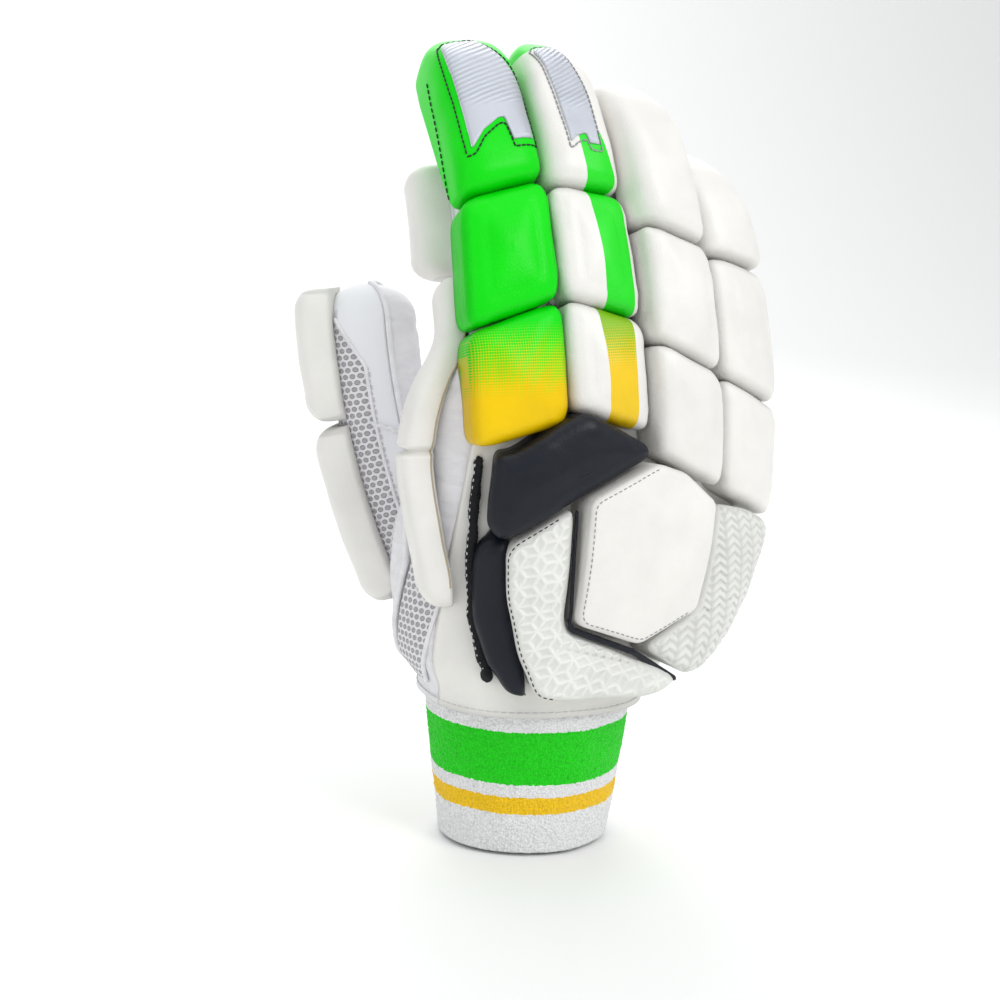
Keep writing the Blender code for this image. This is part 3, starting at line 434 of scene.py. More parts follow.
# Finger stalls: each is a soft sheep-leather front on the palm side, sewn by a raised welt
# to a gusset of open mesh that lets the finger breathe under the padding.
HAND_HEIGHT, HAND_DEPTH, HAND_WALL = 0.183, 0.084, 0.0018
FINGER_WIDTH, FINGER_DEPTH, FINGER_LENGTH = 0.027, 0.026, 0.155
HAND_WIDTH = 4.45 * FINGER_WIDTH
LEATHER_WALL = 0.0016
THUMB_WIDTH, THUMB_DEPTH, THUMB_LENGTH = 0.034, 0.036, 0.123
STALL_START, STALL_SHORT, STALL_TAPER, THUMB_TAPER, TIP_ROUND = 0.155, 0.10, 0.15, -0.02, 0.75
THUMB_START, STALL_SQUARENESS = 0.10, 2.4
CREASES_MM = (48, 62, 84, 104)
FINGER_COLUMNS = (
    "x", "y", "z", "turn", "lean", "curl_root", "curl_tip",
    "base_end", "mid_end", "tip_end", "width", "slope_foot", "slope_base", "slope_mid",
)
FINGERS = {
    "index": (-0.193, -0.229, 0.897, -3.5, -2.3, 4.6, 41.7,
              0.264, 0.545, 1.000, 1.00, 0.22, 0.29, 0.22),
    "middle": (0.077, -0.225, 0.916, 7.7, -2.3, 7.4, 36.5,
               0.255, 0.528, 0.966, 1.00, -0.30, -0.28, -0.16),
    "ring": (0.312, -0.225, 0.827, 16.2, -1.1, 1.2, 31.7,
             0.265, 0.541, 0.961, 1.00, -0.46, -0.43, -0.33),
    "little": (0.550, -0.074, 0.747, 28.2, -1.2, -2.6, 30.9,
               0.270, 0.566, 0.879, 0.95, -0.41, -0.39, -0.23),
}


def squared(angle, power):
    """The point of a rounded square of half size 1 at an angle in radians."""
    c, s = np.cos(angle), np.sin(angle)
    return np.sign(c) * np.abs(c) ** (2 / power), np.sign(s) * np.abs(s) ** (2 / power)


class Digit:
    """A curved finger or thumb: s runs along it, t across and h off its back."""

    def __init__(self, root, turn, lean, curl_root, curl_tip, length, width, depth, end, taper):
        turn, lean = math.radians(turn), math.radians(lean)
        self.back = np.array([math.sin(turn), -math.cos(turn), 0.0])
        side, rise = np.array([math.cos(turn), math.sin(turn), 0.0]), np.array([0.0, 0.0, 1.0])
        self.root = np.array(root)
        self.along = math.cos(lean) * rise + math.sin(lean) * side
        self.across = math.cos(lean) * side - math.sin(lean) * rise
        self.curl, self.rate = math.radians(curl_root), math.radians(curl_tip - curl_root) / length
        self.width, self.depth, self.end, self.taper = width, depth, end, taper

    def frame(self, s):
        """Middle point, direction and back normal at s."""
        s = np.asarray(s, float)
        curl = self.curl + self.rate * s
        forward = ((np.sin(curl) - math.sin(self.curl)) / self.rate)[..., None]
        inward = ((math.cos(self.curl) - np.cos(curl)) / self.rate)[..., None]
        c, d = np.cos(curl)[..., None], np.sin(curl)[..., None]
        return (self.root + forward * self.along - inward * self.back, c * self.along - d * self.back,
                c * self.back + d * self.along)

    def point(self, s, t, h):
        s, t, h = np.broadcast_arrays(s, t, h)
        middle, _, normal = self.frame(s)
        return middle + t[..., None] * self.across + h[..., None] * normal

    def slimming(self, s):
        return 1 - self.taper * np.maximum(s, 0) / self.end

    def straight_end(self):
        return self.end - self.depth / 2 * (1 - self.taper) * TIP_ROUND

    def ring(self, s, degrees, grow=0.0, squeeze=0.0):
        """Points round the stall at s; squeeze, in degrees, closes it over its tip."""
        s, degrees, grow, squeeze = np.broadcast_arrays(s, degrees, grow, squeeze)
        shrink, lift = np.cos(np.radians(squeeze)), np.sin(np.radians(squeeze))
        depth, width = self.depth / 2 * self.slimming(s), self.width / 2 * self.slimming(s)
        extra = grow * np.maximum(shrink, 0.3)
        a, b = squared(np.radians(degrees), STALL_SQUARENESS)
        return self.point(s + (depth * TIP_ROUND + grow) * lift, a * (width * shrink + extra),
                          b * (depth * shrink + extra))


DIGITS, ROWS = {}, {}
for name, values in FINGERS.items():
    row = dict(zip(FINGER_COLUMNS, values))
    ROWS[name] = row
    root = (row["x"] * HAND_WIDTH, row["y"] * HAND_DEPTH, row["z"] * HAND_HEIGHT)
    DIGITS[name] = Digit(root, row["turn"], row["lean"], row["curl_root"], row["curl_tip"], FINGER_LENGTH,
                         row["width"] * FINGER_WIDTH, FINGER_DEPTH,
                         (row["tip_end"] - STALL_SHORT) * FINGER_LENGTH, STALL_TAPER)
DIGITS["thumb"] = Digit((-0.255 * HAND_WIDTH, 0.31 * HAND_DEPTH, 0.535 * HAND_HEIGHT), -113, -2,
                        -27, -4, THUMB_LENGTH, THUMB_WIDTH, THUMB_DEPTH, THUMB_LENGTH, THUMB_TAPER)
STARTS = {name: STALL_START * FINGER_LENGTH for name in FINGERS}
STARTS["thumb"] = THUMB_START * THUMB_LENGTH


def from_hole(material, pitches, scales):
    """How far a point lies from its nearest hole, in a grid whose rows are half a step apart."""
    across = add(material, "Attribute", {"attribute_name": "round_mm"})
    along = add(material, "Attribute", {"attribute_name": "up_mm"})
    column = add(material, "Math", {"operation": "DIVIDE", 1: pitches[0]}, {0: across})
    row = add(material, "Math", {"operation": "DIVIDE", 1: pitches[1]}, {0: along})
    count = add(material, "Math", {"operation": "FLOOR"}, {0: row})
    column = add(material, "Math", {"operation": "MULTIPLY_ADD", 1: 0.5}, {0: count, 2: column})
    spots = {}
    for axis, (source, scale) in enumerate(((column, scales[0]), (row, scales[1]))):
        part = add(material, "Math", {"operation": "FRACT"}, {0: source})
        spots[axis] = add(material, "Math", {"operation": "MULTIPLY_ADD", 1: scale, 2: -scale / 2},
                          {0: part})
    away = add(material, "CombineXYZ", {}, spots)
    return add(material, "VectorMath", {"operation": "LENGTH"}, {0: away})


# Soft tanned sheep leather: a fine matt grain with long shallow creases, painted darker in
# their hollows as shade, and punched breathing holes painted dark as the shade inside them.
def leather_of(name, shade, holes):
    material, shader = new_material(name)
    place = add(material, "TexCoord")
    pores = add(material, "TexVoronoi", {"Scale": 1300.0}, {"Vector": place})
    long = add(material, "Mapping", {"Scale": (60.0, 60.0, 150.0)}, {"Vector": place})
    wrinkle = add(material, "TexNoise",
                  {"Scale": 1.0, "Detail": 5.0, "Roughness": 0.62, "Distortion": 1.1}, {"Vector": long})
    folds = add(material, "Bump", {"Strength": 0.55, "Distance": 0.0012}, {"Height": wrinkle})
    skin = add(material, "Bump", {"Strength": 0.4, "Distance": 0.00012}, {"Height": pores, "Normal": folds})
    # Painted shade: the colour darkens in the crease hollows, by the same noise that sinks them.
    toned = add(material, "MapRange", {1: 0.3, 2: 0.75, 3: 0.86, 4: 1.03}, {0: wrinkle})
    base_colour = add(material, "Mix", DARKENED, {6: shade, 7: toned})
    if holes:
        inner = add(material, "Attribute", {"attribute_name": "punched"})
        far = from_hole(material, holes, holes)
        open_here = add(material, "MapRange", {1: 0.5, 2: 0.7, 3: 1.0, 4: 0.0}, {0: far})
        only = add(material, "Math", {"operation": "MULTIPLY"}, {0: open_here, 1: inner})
        # Painted shade: the holes are coloured dark for the shade inside them.
        base_colour = add(material, "Mix", MIXED, {0: only, 6: base_colour, 7: "#2A2E3C"})
    wire(material, shader, {"Roughness": 0.58}, {"Base Color": base_colour, "Normal": skin})
    return material


PALM_LEATHER = leather_of("soft white sheep leather", "#E8E7EA", (8.0, 6.5))
PLAIN_LEATHER = leather_of("plain white sheep leather", "#EAE9EC", None)


# Air mesh: a warp-knitted cloth whose open holes, 2 to 3 mm apart, are sunk by a bump and
# painted grey as the shade seen through them. Where its point value "plain" is 1 it is leather
# instead.
def mesh_of(name, shade, pitch):
    material, shader = new_material(name)
    solid = add(material, "Attribute", {"attribute_name": "plain"})
    far = from_hole(material, (pitch, pitch * 0.8), (1.0, 1.0))
    hole = add(material, "MapRange", {1: 0.30, 2: 0.40, 3: 1.0, 4: 0.0}, {0: far})
    meshed = add(material, "Math", {"operation": "SUBTRACT", 0: 1.0}, {1: solid})
    hole = add(material, "Math", {"operation": "MULTIPLY"}, {0: hole, 1: meshed})
    ground = add(material, "Mix", MIXED, {0: solid, 6: shade, 7: "#E8E8EC"})
    # Painted shade: the holes are coloured grey for the shade seen through them.
    base_colour = add(material, "Mix", MIXED, {0: hole, 6: ground, 7: "#A3A1A6"})
    dip = add(material, "Bump", {"invert": True, "Strength": 1.0, "Distance": 0.0007}, {"Height": hole})
    wire(material, shader, {"Roughness": 0.8, "Sheen Weight": 0.15}, {"Base Color": base_colour, "Normal": dip})
    return material


FINE_MESH = mesh_of("fine white air mesh", "#DFDDE0", 2.3)
OPEN_MESH = mesh_of("open white air mesh", "#E0DEE1", 3.1)


def shell(name, outer, inner, material, facts, around=False):
    """A soft wall between two grids of points, closed along its edges."""
    rows, columns = outer.shape[:2]
    count = rows * columns
    faces = grid_faces(rows, columns, around) + [f[::-1] for f in grid_faces(rows, columns, around, count)]
    rims = [[k for k in range(columns)], [(rows - 1) * columns + k for k in range(columns)][::-1]]
    if not around:
        rims += [[k * columns for k in range(rows)][::-1], [k * columns + columns - 1 for k in range(rows)]]
    for rim in rims:
        faces += [(b, a, a + count, b + count) for a, b in zip(rim, rim[1:])]
        if around:
            faces.append((rim[0], rim[-1], rim[-1] + count, rim[0] + count))
    values = {key: np.concatenate([value.ravel()] * 2) for key, value in facts.items()}
    return form(name, np.concatenate([outer.reshape(-1, 3), inner.reshape(-1, 3)]), faces, material, values)


def stall_grid(digit, start, angles, grow):
    straight = digit.straight_end()
    body = np.linspace(start, straight, 62)
    turns = np.linspace(0, 88, 12)[1:]
    s = np.concatenate([body, np.full(len(turns), straight)])[:, None]
    squeeze = np.concatenate([np.zeros(len(body)), turns])[:, None]
    return digit.ring(s, angles[None, :], grow, squeeze), s, squeeze


def mesh_limit(s):
    """The angle round the thumb where its strip of mesh gives way to leather."""
    return 4 + 50 * np.clip((s / THUMB_LENGTH - 0.74) / 0.22, 0, 1) ** 1.2


for name, digit in DIGITS.items():
    start = STARTS[name]
    thumb = name == "thumb"
    for part, first, last, nudge in (("front", 200, 340, -1), ("gusset", -20, 200, 1)):
        angles = np.linspace(first, last, (last - first) // 4 + 1)
        outer, s, squeeze = stall_grid(digit, start, angles, 0.0)
        inner, _, _ = stall_grid(digit, start, angles, -LEATHER_WALL)
        lift = nudge * CLEARANCE / 2 * digit.frame(s)[2]
        up_mm = np.broadcast_to(s * 1000 + squeeze / 90 * 9, outer.shape[:2])
        round_mm = np.broadcast_to(np.radians(angles) * digit.width * 500, outer.shape[:2])
        if part == "front":
            # Shallow creases where the finger bends, and a soft swell between them.
            bend = sum(np.exp(-((up_mm - at) / 1.6) ** 2) for at in CREASES_MM)
            sink = -0.0006 * bend * np.exp(-(((angles - 270) / 45) ** 2))[None, :]
            soft = rumple(outer, 0.0007, 0.016, 3.0)
            fade = np.clip((angles - first) / 15, 0, 1) * np.clip((last - angles) / 15, 0, 1)
            outward = outer - digit.frame(s)[0]
            outward /= np.linalg.norm(outward, axis=2, keepdims=True)
            outer = outer + outward * ((sink + soft - 0.0003) * fade)[..., None]
            inside = np.clip(1.2 - np.abs(angles - 270) / 42, 0, 1)[None, :] * (squeeze < 5)
            punched = np.broadcast_to((inside > 0.2) * (0.0 if thumb else 1.0), outer.shape[:2])
            facts = {"up_mm": up_mm, "round_mm": round_mm, "punched": punched}
            piece = shell(f"{name}_leather_front", outer + lift, inner + lift, PALM_LEATHER, facts)
        else:
            plain = np.clip(squeeze / 25, 0, 1) + np.zeros(outer.shape[:2])
            if name == "index":
                plain[:] = (angles > 90)[None, :]
            if thumb:
                plain = np.maximum(plain, (90 - np.abs(angles - 90))[None, :] < mesh_limit(s))
            facts = {"up_mm": up_mm, "round_mm": round_mm, "plain": plain}
            piece = shell(f"{name}_mesh_gusset", outer + lift, inner + lift,
                          OPEN_MESH if thumb else FINE_MESH, facts)
        placed(piece, f"{name}_{part}")
    for side, angle in (("thumbward", 203), ("outward", 337)):
        line, s, _ = stall_grid(digit, start + 0.004, np.array([angle * 1.0]), 0.0003)
        cord_along(f"{name}_{side}_welt", line[:, 0], 0.0011, PLAIN_LEATHER)
thumb = DIGITS["thumb"]
seam_s = np.linspace(STARTS["thumb"] + 0.004, 0.90 * THUMB_LENGTH, 80)
cord_along("thumb_mesh_seam", thumb.ring(seam_s, mesh_limit(seam_s), 0.0003), 0.0007, PLAIN_LEATHER)
fold = np.linspace(0, 1, 60)
zigzag = 0.0011 * np.abs(2 * np.mod(fold * 9, 1.0) - 1)
fold_line = thumb.ring((0.56 - 0.14 * fold) * THUMB_LENGTH + zigzag, 8 - 70 * fold, 0.0004)
cord_along("thumb_fold_seam", fold_line, 0.0008, PLAIN_LEATHER)

# The hand shell is one sleeve: coated leather over the back, soft leather over the palm,
# joined down both sides. It is sewn over the wristband and opens into the stalls.
HAND_SECTIONS = [
    (0.410, 0.030, -0.030, 0.424, 0.452, 1.0, -0.03, 0.050),
    (0.546, 0.100, -0.071, 0.480, 0.369, 4.0, -0.09, 0.125),
    (0.710, 0.155, -0.137, 0.505, 0.280, 7.0, -0.19, 0.150),
    (0.847, 0.183, -0.173, 0.512, 0.220, 9.0, -0.28, 0.110),
    (0.945, 0.187, -0.173, 0.503, 0.208, 9.0, -0.32, 0.060),
    (1.000, 0.187, -0.167, 0.495, 0.202, 9.0, -0.33, 0.030),
]
BALL_ANGLE, BALL_SPREAD, HAND_SQUARENESS = 152, 34, 2.4
# The breathing holes lie in one generic patch: its heights in mm and its angles in degrees.
PATCH_MM, PATCH_ANGLES = (112, 150), (60, 128)
HEM_LEVEL, FINE_THREAD = 0.0602, 0.00024
skirt_reach = float(band_radius(SKIRT_LEVEL)) + CLEARANCE + HAND_WALL
skirt_depth = float(band_radius(SKIRT_LEVEL)) * WRIST_ROUNDNESS + CLEARANCE + HAND_WALL
skirt = (0.0, 0.0, skirt_reach, skirt_depth, 0.0, 0.0, 0.0)
HAND_TABLE = [(SKIRT_LEVEL, *skirt), (BAND_HEIGHT + HAND_WALL, *skirt)]
for level, x, y, half_width, half_depth, turn, tilt, ball in HAND_SECTIONS:
    HAND_TABLE.append((level * HAND_HEIGHT, x * HAND_WIDTH, y * HAND_DEPTH, half_width * HAND_WIDTH,
                       half_depth * HAND_DEPTH, turn, tilt, ball * HAND_WIDTH))
HAND_TABLE = np.array(HAND_TABLE)


def smooth_rows(table, x):
    """Rows of the table at each x, on smooth curves through its rows; column 0 is x."""
    keys = table[:, 0]
    x = np.clip(x, keys[0], keys[-1])
    i = np.clip(np.searchsorted(keys, x) - 1, 0, len(keys) - 2)
    before, low, high = table[np.maximum(i - 1, 0)], table[i], table[i + 1]
    after = table[np.minimum(i + 2, len(keys) - 1)]
    span = (high[:, 0] - low[:, 0])[:, None]
    rise_low = (high - before)[:, 1:] / (high - before)[:, :1] * span
    rise_high = (after - low)[:, 1:] / (after - low)[:, :1] * span
    f = ((x - keys[i]) / span[:, 0])[:, None]
    return ((2 * f**3 - 3 * f**2 + 1) * low[:, 1:] + (f**3 - 2 * f**2 + f) * rise_low
            + (3 * f**2 - 2 * f**3) * high[:, 1:] + (f**3 - f**2) * rise_high)


def hand_surface(level, degrees, grow=0.0, squeeze=0.0):
    """Points of the hand's sleeve at levels and angles; squeeze closes it over its top."""
    level, degrees, squeeze = np.broadcast_arrays(level, degrees, squeeze)
    rows = smooth_rows(HAND_TABLE, level.ravel()).reshape(level.shape + (7,))
    x0, y0, half_width, half_depth, turn, tilt, ball = np.moveaxis(rows, -1, 0)
    closing = 1 - np.cos(np.radians(squeeze))
    half_width = half_width - half_depth * closing + grow
    rise = (half_depth * 0.55 + grow) * np.sin(np.radians(squeeze))
    half_depth = half_depth * (1 - closing) + grow
    a, b = squared(np.radians(degrees), HAND_SQUARENESS)
    away = (degrees - BALL_ANGLE + 180) % 360 - 180
    swell = ball * np.exp(-(away / BALL_SPREAD) ** 2) * (1 - closing)
    x, y = a * (half_width + swell), b * (half_depth + swell)
    c, s = np.cos(np.radians(turn)), np.sin(np.radians(turn))
    return np.stack([x0 + x * c - y * s, y0 + x * s + y * c, level + tilt * x + rise], axis=-1)


MAP_STEP = 0.001
MAP_LEVELS = np.arange(SKIRT_LEVEL, HAND_HEIGHT + MAP_STEP / 2, MAP_STEP)
MAP_ROUND = np.arange(-0.115, 0.1155, MAP_STEP)


def surface_normals(points):
    """Unit normals of a grid of points."""
    normals = np.cross(np.gradient(points, axis=1), np.gradient(points, axis=0))
    return normals / (np.linalg.norm(normals, axis=2, keepdims=True) + 1e-12)


def side_map(middle):
    """Points and normals of the hand, by level and distance round from an angle of it."""
    angles = np.arange(middle - 180, middle + 181, 2.0)
    rings = hand_surface(MAP_LEVELS[:, None], angles[None, :])
    points = np.empty((len(MAP_LEVELS), len(MAP_ROUND), 3))
    for k, ring in enumerate(rings):
        along = run_of(ring)
        points[k] = sampled(ring, MAP_ROUND, along - along[90])
    return points, surface_normals(points)


SIDE_MAPS = {"back": side_map(-90), "palm": side_map(90)}


def on_hand(u, level, height=0.0, side="back"):
    """Points this far round from the middle of a side of the hand, at a level and a height."""
    u, level, height = np.broadcast_arrays(np.asarray(u, float), np.asarray(level, float), height)
    points, normals = SIDE_MAPS[side]
    row = np.clip((level - MAP_LEVELS[0]) / MAP_STEP, 0, len(MAP_LEVELS) - 1.001)
    column = np.clip((u - MAP_ROUND[0]) / MAP_STEP, 0, len(MAP_ROUND) - 1.001)
    i, j = row.astype(int), column.astype(int)
    f, g = (row - i)[..., None], (column - j)[..., None]

    def mixed(table):
        return ((table[i, j] * (1 - g) + table[i, j + 1] * g) * (1 - f)
                + (table[i + 1, j] * (1 - g) + table[i + 1, j + 1] * g) * f)

    normal = mixed(normals)
    return mixed(points) + height[..., None] * normal / np.linalg.norm(normal, axis=-1, keepdims=True)


def outward(mesh):
    """Joins doubled points and turns every face outward."""
    shape = bmesh.new()
    shape.from_mesh(mesh)
    bmesh.ops.remove_doubles(shape, verts=shape.verts, dist=2e-6)
    bmesh.ops.recalc_face_normals(shape, faces=shape.faces)
    shape.to_mesh(mesh)
    shape.free()


def capped(rows, columns):
    """Faces of a closed body through rings of points, with one more point in each end."""
    foot, last = rows * columns, (rows - 1) * columns
    ring = [(k, (k + 1) % columns) for k in range(columns)]
    return (grid_faces(rows, columns, around=True) + [(foot, after, k) for k, after in ring]
            + [(last + k, last + after, foot + 1) for k, after in ring])


def plug(name, rings):
    """A plain closed body through rings of points, used only to cut fits."""
    points = np.concatenate([rings.reshape(-1, 3), [rings[0].mean(axis=0), rings[-1].mean(axis=0)]])
    body = form(name, points, capped(*rings.shape[:2]), PLAIN_LEATHER)
    outward(body.data)
    return body


def trimmed(piece, cutters):
    """Takes the cutters out of a piece and carries the values at its points over."""
    old = piece.data
    outward(old)
    known = {a.name: np.empty(len(old.vertices), np.float32) for a in old.attributes
             if a.domain == "POINT" and a.data_type == "FLOAT"}
    for key, values in known.items():
        old.attributes[key].data.foreach_get("value", values)
    tree = kdtree.KDTree(len(old.vertices))
    for k, vertex in enumerate(old.vertices):
        tree.insert(vertex.co, k)
    tree.balance()
    for cutter in cutters:
        modifier = piece.modifiers.new("fit", "BOOLEAN")
        modifier.operation, modifier.solver, modifier.object = "DIFFERENCE", "EXACT", cutter
    graph = bpy.context.evaluated_depsgraph_get()
    mesh = bpy.data.meshes.new_from_object(piece.evaluated_get(graph))
    piece.modifiers.clear()
    near = [tree.find_n(v.co, 3) for v in mesh.vertices]
    for key, values in known.items():
        if key in mesh.attributes:
            mesh.attributes.remove(mesh.attributes[key])
        held = mesh.attributes.new(key, "FLOAT", "POINT")
        mixed = []
        for found in near:
            weights = [1 / (distance + 1e-7) for _, _, distance in found]
            mixed.append(sum(w * values[i] for w, (_, i, _) in zip(weights, found)) / sum(weights))
        held.data.foreach_set("value", np.array(mixed, np.float32))
    piece.data = mesh
    mesh.shade_smooth()
    return piece


STALL_PLUGS = {}
for name, digit in DIGITS.items():
    rings, _, _ = stall_grid(digit, STARTS[name], np.arange(0, 360, 9.0), CLEARANCE)
    STALL_PLUGS[name] = plug(f"{name}_plug", rings)
hand_levels = np.concatenate([np.linspace(SKIRT_LEVEL, HAND_HEIGHT, 40), np.full(6, HAND_HEIGHT)])[:, None]
hand_turns = np.concatenate([np.zeros(40), np.linspace(0, 88, 7)[1:]])[:, None]
hand_rings = hand_surface(hand_levels, np.arange(0, 360, 5.0)[None, :], CLEARANCE, hand_turns)
HAND_PLUG = plug("hand_plug", hand_rings)

SHELL_WHITE, _ = coated("white coated shell leather", WHITE_SHADE, 0.45, crease=0.0008)
for name, first, last, nudge, side in (("hand_back", -165, -15, -1, "back"), ("palm", -15, 195, 1, "palm")):
    angles = np.linspace(first, last, int((last - first) / 2.5) + 1)[None, :]
    levels = np.concatenate([np.linspace(SKIRT_LEVEL, HAND_HEIGHT, 84), np.full(8, HAND_HEIGHT)])[:, None]
    turns = np.concatenate([np.zeros(84), np.linspace(0, 86, 9)[1:]])[:, None]
    outer = hand_surface(levels, angles, 0.0, turns)
    inner = hand_surface(levels, angles, -HAND_WALL, turns)
    outer[..., 1] += nudge * CLEARANCE / 2
    inner[..., 1] += nudge * CLEARANCE / 2
    normals = surface_normals(outer)
    edge = np.clip((angles - first) / 12, 0, 1) * np.clip((last - angles) / 12, 0, 1)
    edge = edge * np.clip((levels - SKIRT_LEVEL) / 0.008, 0, 1) * (turns < 1)
    soft = rumple(outer, 0.0012, 0.022, 9.0) + rumple(outer * (1, 1, 0.45), 0.0005, 0.007, 4.0) - 0.0006
    outer = outer + normals * (soft * edge)[..., None]
    along = np.cumsum(np.linalg.norm(np.diff(outer, axis=1, prepend=outer[:, :1]), axis=2), axis=1) * 1000
    up_mm = outer[..., 2] * 1000
    seam = 1 - np.clip((levels - SKIRT_LEVEL) / 0.006, 0, 1) + 0 * outer[..., 0]
    punched = ((up_mm > PATCH_MM[0]) & (up_mm < PATCH_MM[1])
               & (angles > PATCH_ANGLES[0]) & (angles < PATCH_ANGLES[1])) * 1.0
    facts = {"up_mm": up_mm, "round_mm": along, "punched": punched, "seam": seam}
    material = SHELL_WHITE if side == "back" else PALM_LEATHER
    piece = shell(f"{name}_sleeve", outer, inner, material, facts)
    trimmed(piece, list(STALL_PLUGS.values()))
    placed(piece, name)

# A row of lock stitch holds the shell's hem down on the towelling.
hem_ring = hand_surface(np.full(400, HEM_LEVEL), np.linspace(0, 359, 400), 0.0001)
stitches("hem_stitching", hem_ring, WHITE_THREAD, 0.0024, 0.0008, FINE_THREAD)

# Finger pads: high-density foam in coated leather, three to a finger, sewn down along both
# edges so that they swell between the grooves. The first two fingers carry the colours.
FINGER_PAD, PAD_ROUND, PAD_CROWN, PAD_FOOT, TIP_WRAP = 0.017, 0.0066, 0.0020, 0.35, 0.7
FIT_MARGIN = 0.0008
OUTER_REACH = {"index": (0.69, 0.72, 0.67, 0.76), "little": (0.66, 0.70, 0.64, 0.51)}


def side_tables():
    """The sides of each finger's padding along it, as t = start + slope * h."""
    s = np.arange(-0.012, 0.170, 0.001)
    names, tables = list(FINGERS), {}
    for k, name in enumerate(names):
        digit, row = DIGITS[name], ROWS[name]
        for side in (-1, 1):
            if not 0 <= k + side < len(names):
                ends = [0.0] + [row[key] * FINGER_LENGTH for key in ("base_end", "mid_end", "tip_end")]
                start = side * FINGER_WIDTH * np.interp(s, ends, OUTER_REACH[name])
                slope = 0 * s
            else:
                other, place = DIGITS[names[k + side]], s.copy()
                for _ in range(6):
                    middle, direction, _ = other.frame(place)
                    place = place + ((digit.frame(s)[0] - middle) * direction).sum(axis=1)
                there, _, its_normal = other.frame(place)
                middle, _, normal = digit.frame(s)
                start = (there - middle) @ digit.across / 2 - side * CLEARANCE * 0.6
                slope = (its_normal - normal) @ digit.across / 2
            tables[name, side] = (s, start, slope)
    return tables


SIDES = side_tables()


def between_sides(name, s, a, h, inset=0.0):
    """How far across a finger's padding lies, a from -1 to 1 between its sides."""
    ends = []
    for side in (-1, 1):
        table_s, start, slope = SIDES[name, side]
        ends.append(np.interp(s, table_s, start) + np.interp(s, table_s, slope) * h)
    low, high = ends[0] + inset, ends[1] - inset
    return (low + high) / 2 + a * (high - low) / 2


def pad_point(name, ends, a, b, h):
    """Points of a finger pad; a and b run from -1 to 1 across and along it."""
    (foot, foot_slope), (head, head_slope) = ends
    t = between_sides(name, (foot + head) / 2 + b * (head - foot) / 2, a, h)
    low = foot + foot_slope * t + CLEARANCE / 2
    high = head + head_slope * t - CLEARANCE / 2
    s = (low + high) / 2 + b * (high - low) / 2
    return DIGITS[name].point(s, t, h), s, t


def stuffed(name, place, base, crest, half_a, half_b, material, power=7.0, sides=84, edge=PAD_ROUND,
            crown=PAD_CROWN, lumps=0.00035):
    """A foam-filled block: straight sides, a rounded edge and a crowned face.

    place(a, b, h) gives points and two values in metres along and across it.
    """
    rows = [(base, 0.0, 0.30), (base, 0.0, 0.65), (base, 0.0, 0.93)]
    wall = crest - crown - edge
    rows += [(base + (wall - base) * f, 0.0, 1.0) for f in (0.0, 0.35, 0.7, 1.0)]
    for turn in np.linspace(0, math.pi / 2, 8)[1:]:
        rows.append((wall + edge * math.sin(turn), edge * (1 - math.cos(turn)), 1.0))
    for keep in (0.93, 0.85, 0.76, 0.66, 0.55, 0.44, 0.33, 0.22, 0.11):
        rows.append((crest - crown * keep**2, edge, keep))
    h, inset, keep = np.array(rows).T[:, :, None]
    turns = np.linspace(0, 2 * math.pi, sides, endpoint=False)[None, :]
    bend = 2.2 + (power - 2.2) * np.clip(keep, 0, 1) ** 2
    a, b = squared(turns, bend)
    a, b = a * (1 - inset / half_a) * keep, b * (1 - inset / half_b) * keep
    h = np.broadcast_to(h, a.shape)
    points, along, across = place(a, b, h)
    ends, ends_along, ends_across = place(np.zeros(2), np.zeros(2), np.array([base, crest]))
    normals = surface_normals(points)
    if ((points[12:] - points[:7].mean(axis=(0, 1))) * normals[12:]).sum() < 0:
        normals = -normals
    lift = rumple(points, lumps, 0.011, crest * 1000) + rumple(points, lumps * 1.4, 0.025, 7.0)
    closeness = np.maximum(np.abs(a), np.abs(b))
    pulled = np.clip((closeness - 0.55) / 0.35, 0, 1) * np.clip((h - base) / (crest - base), 0, 1)
    lift = lift + pulled * rumple(points, lumps * 2.0, 0.0045, 3.0)
    swelling = (h > (base + wall) / 2)[..., None]
    points = points + normals * (lift * np.where(keep < 1, 1.0, 0.7))[..., None] * swelling
    seam = np.clip((closeness - 0.62) / 0.38, 0, 1) * np.ones_like(h)
    facts = {"seam": np.append(seam.ravel(), [1, 0]), "share": np.append(a.ravel(), [0, 0]),
             "along_mm": np.append(along.ravel(), ends_along) * 1000,
             "across_mm": np.append(across.ravel(), ends_across) * 1000,
             "rise": np.append(b.ravel(), [0, 0])}
    return form(name, np.concatenate([points.reshape(-1, 3), ends]), capped(len(points), sides),
                material, facts)


# The white coat shows its folds, and like the green one it is painted darker along its seams
# as shade. The green one is coloured evenly, so it looks flatter and brighter.
PAD_WHITE, _ = coated("white coated pad leather", WHITE_SHADE)
PAD_GREEN, _ = coated("green coated pad leather", GREEN_SHADE, 0.38, gloss=0.20)


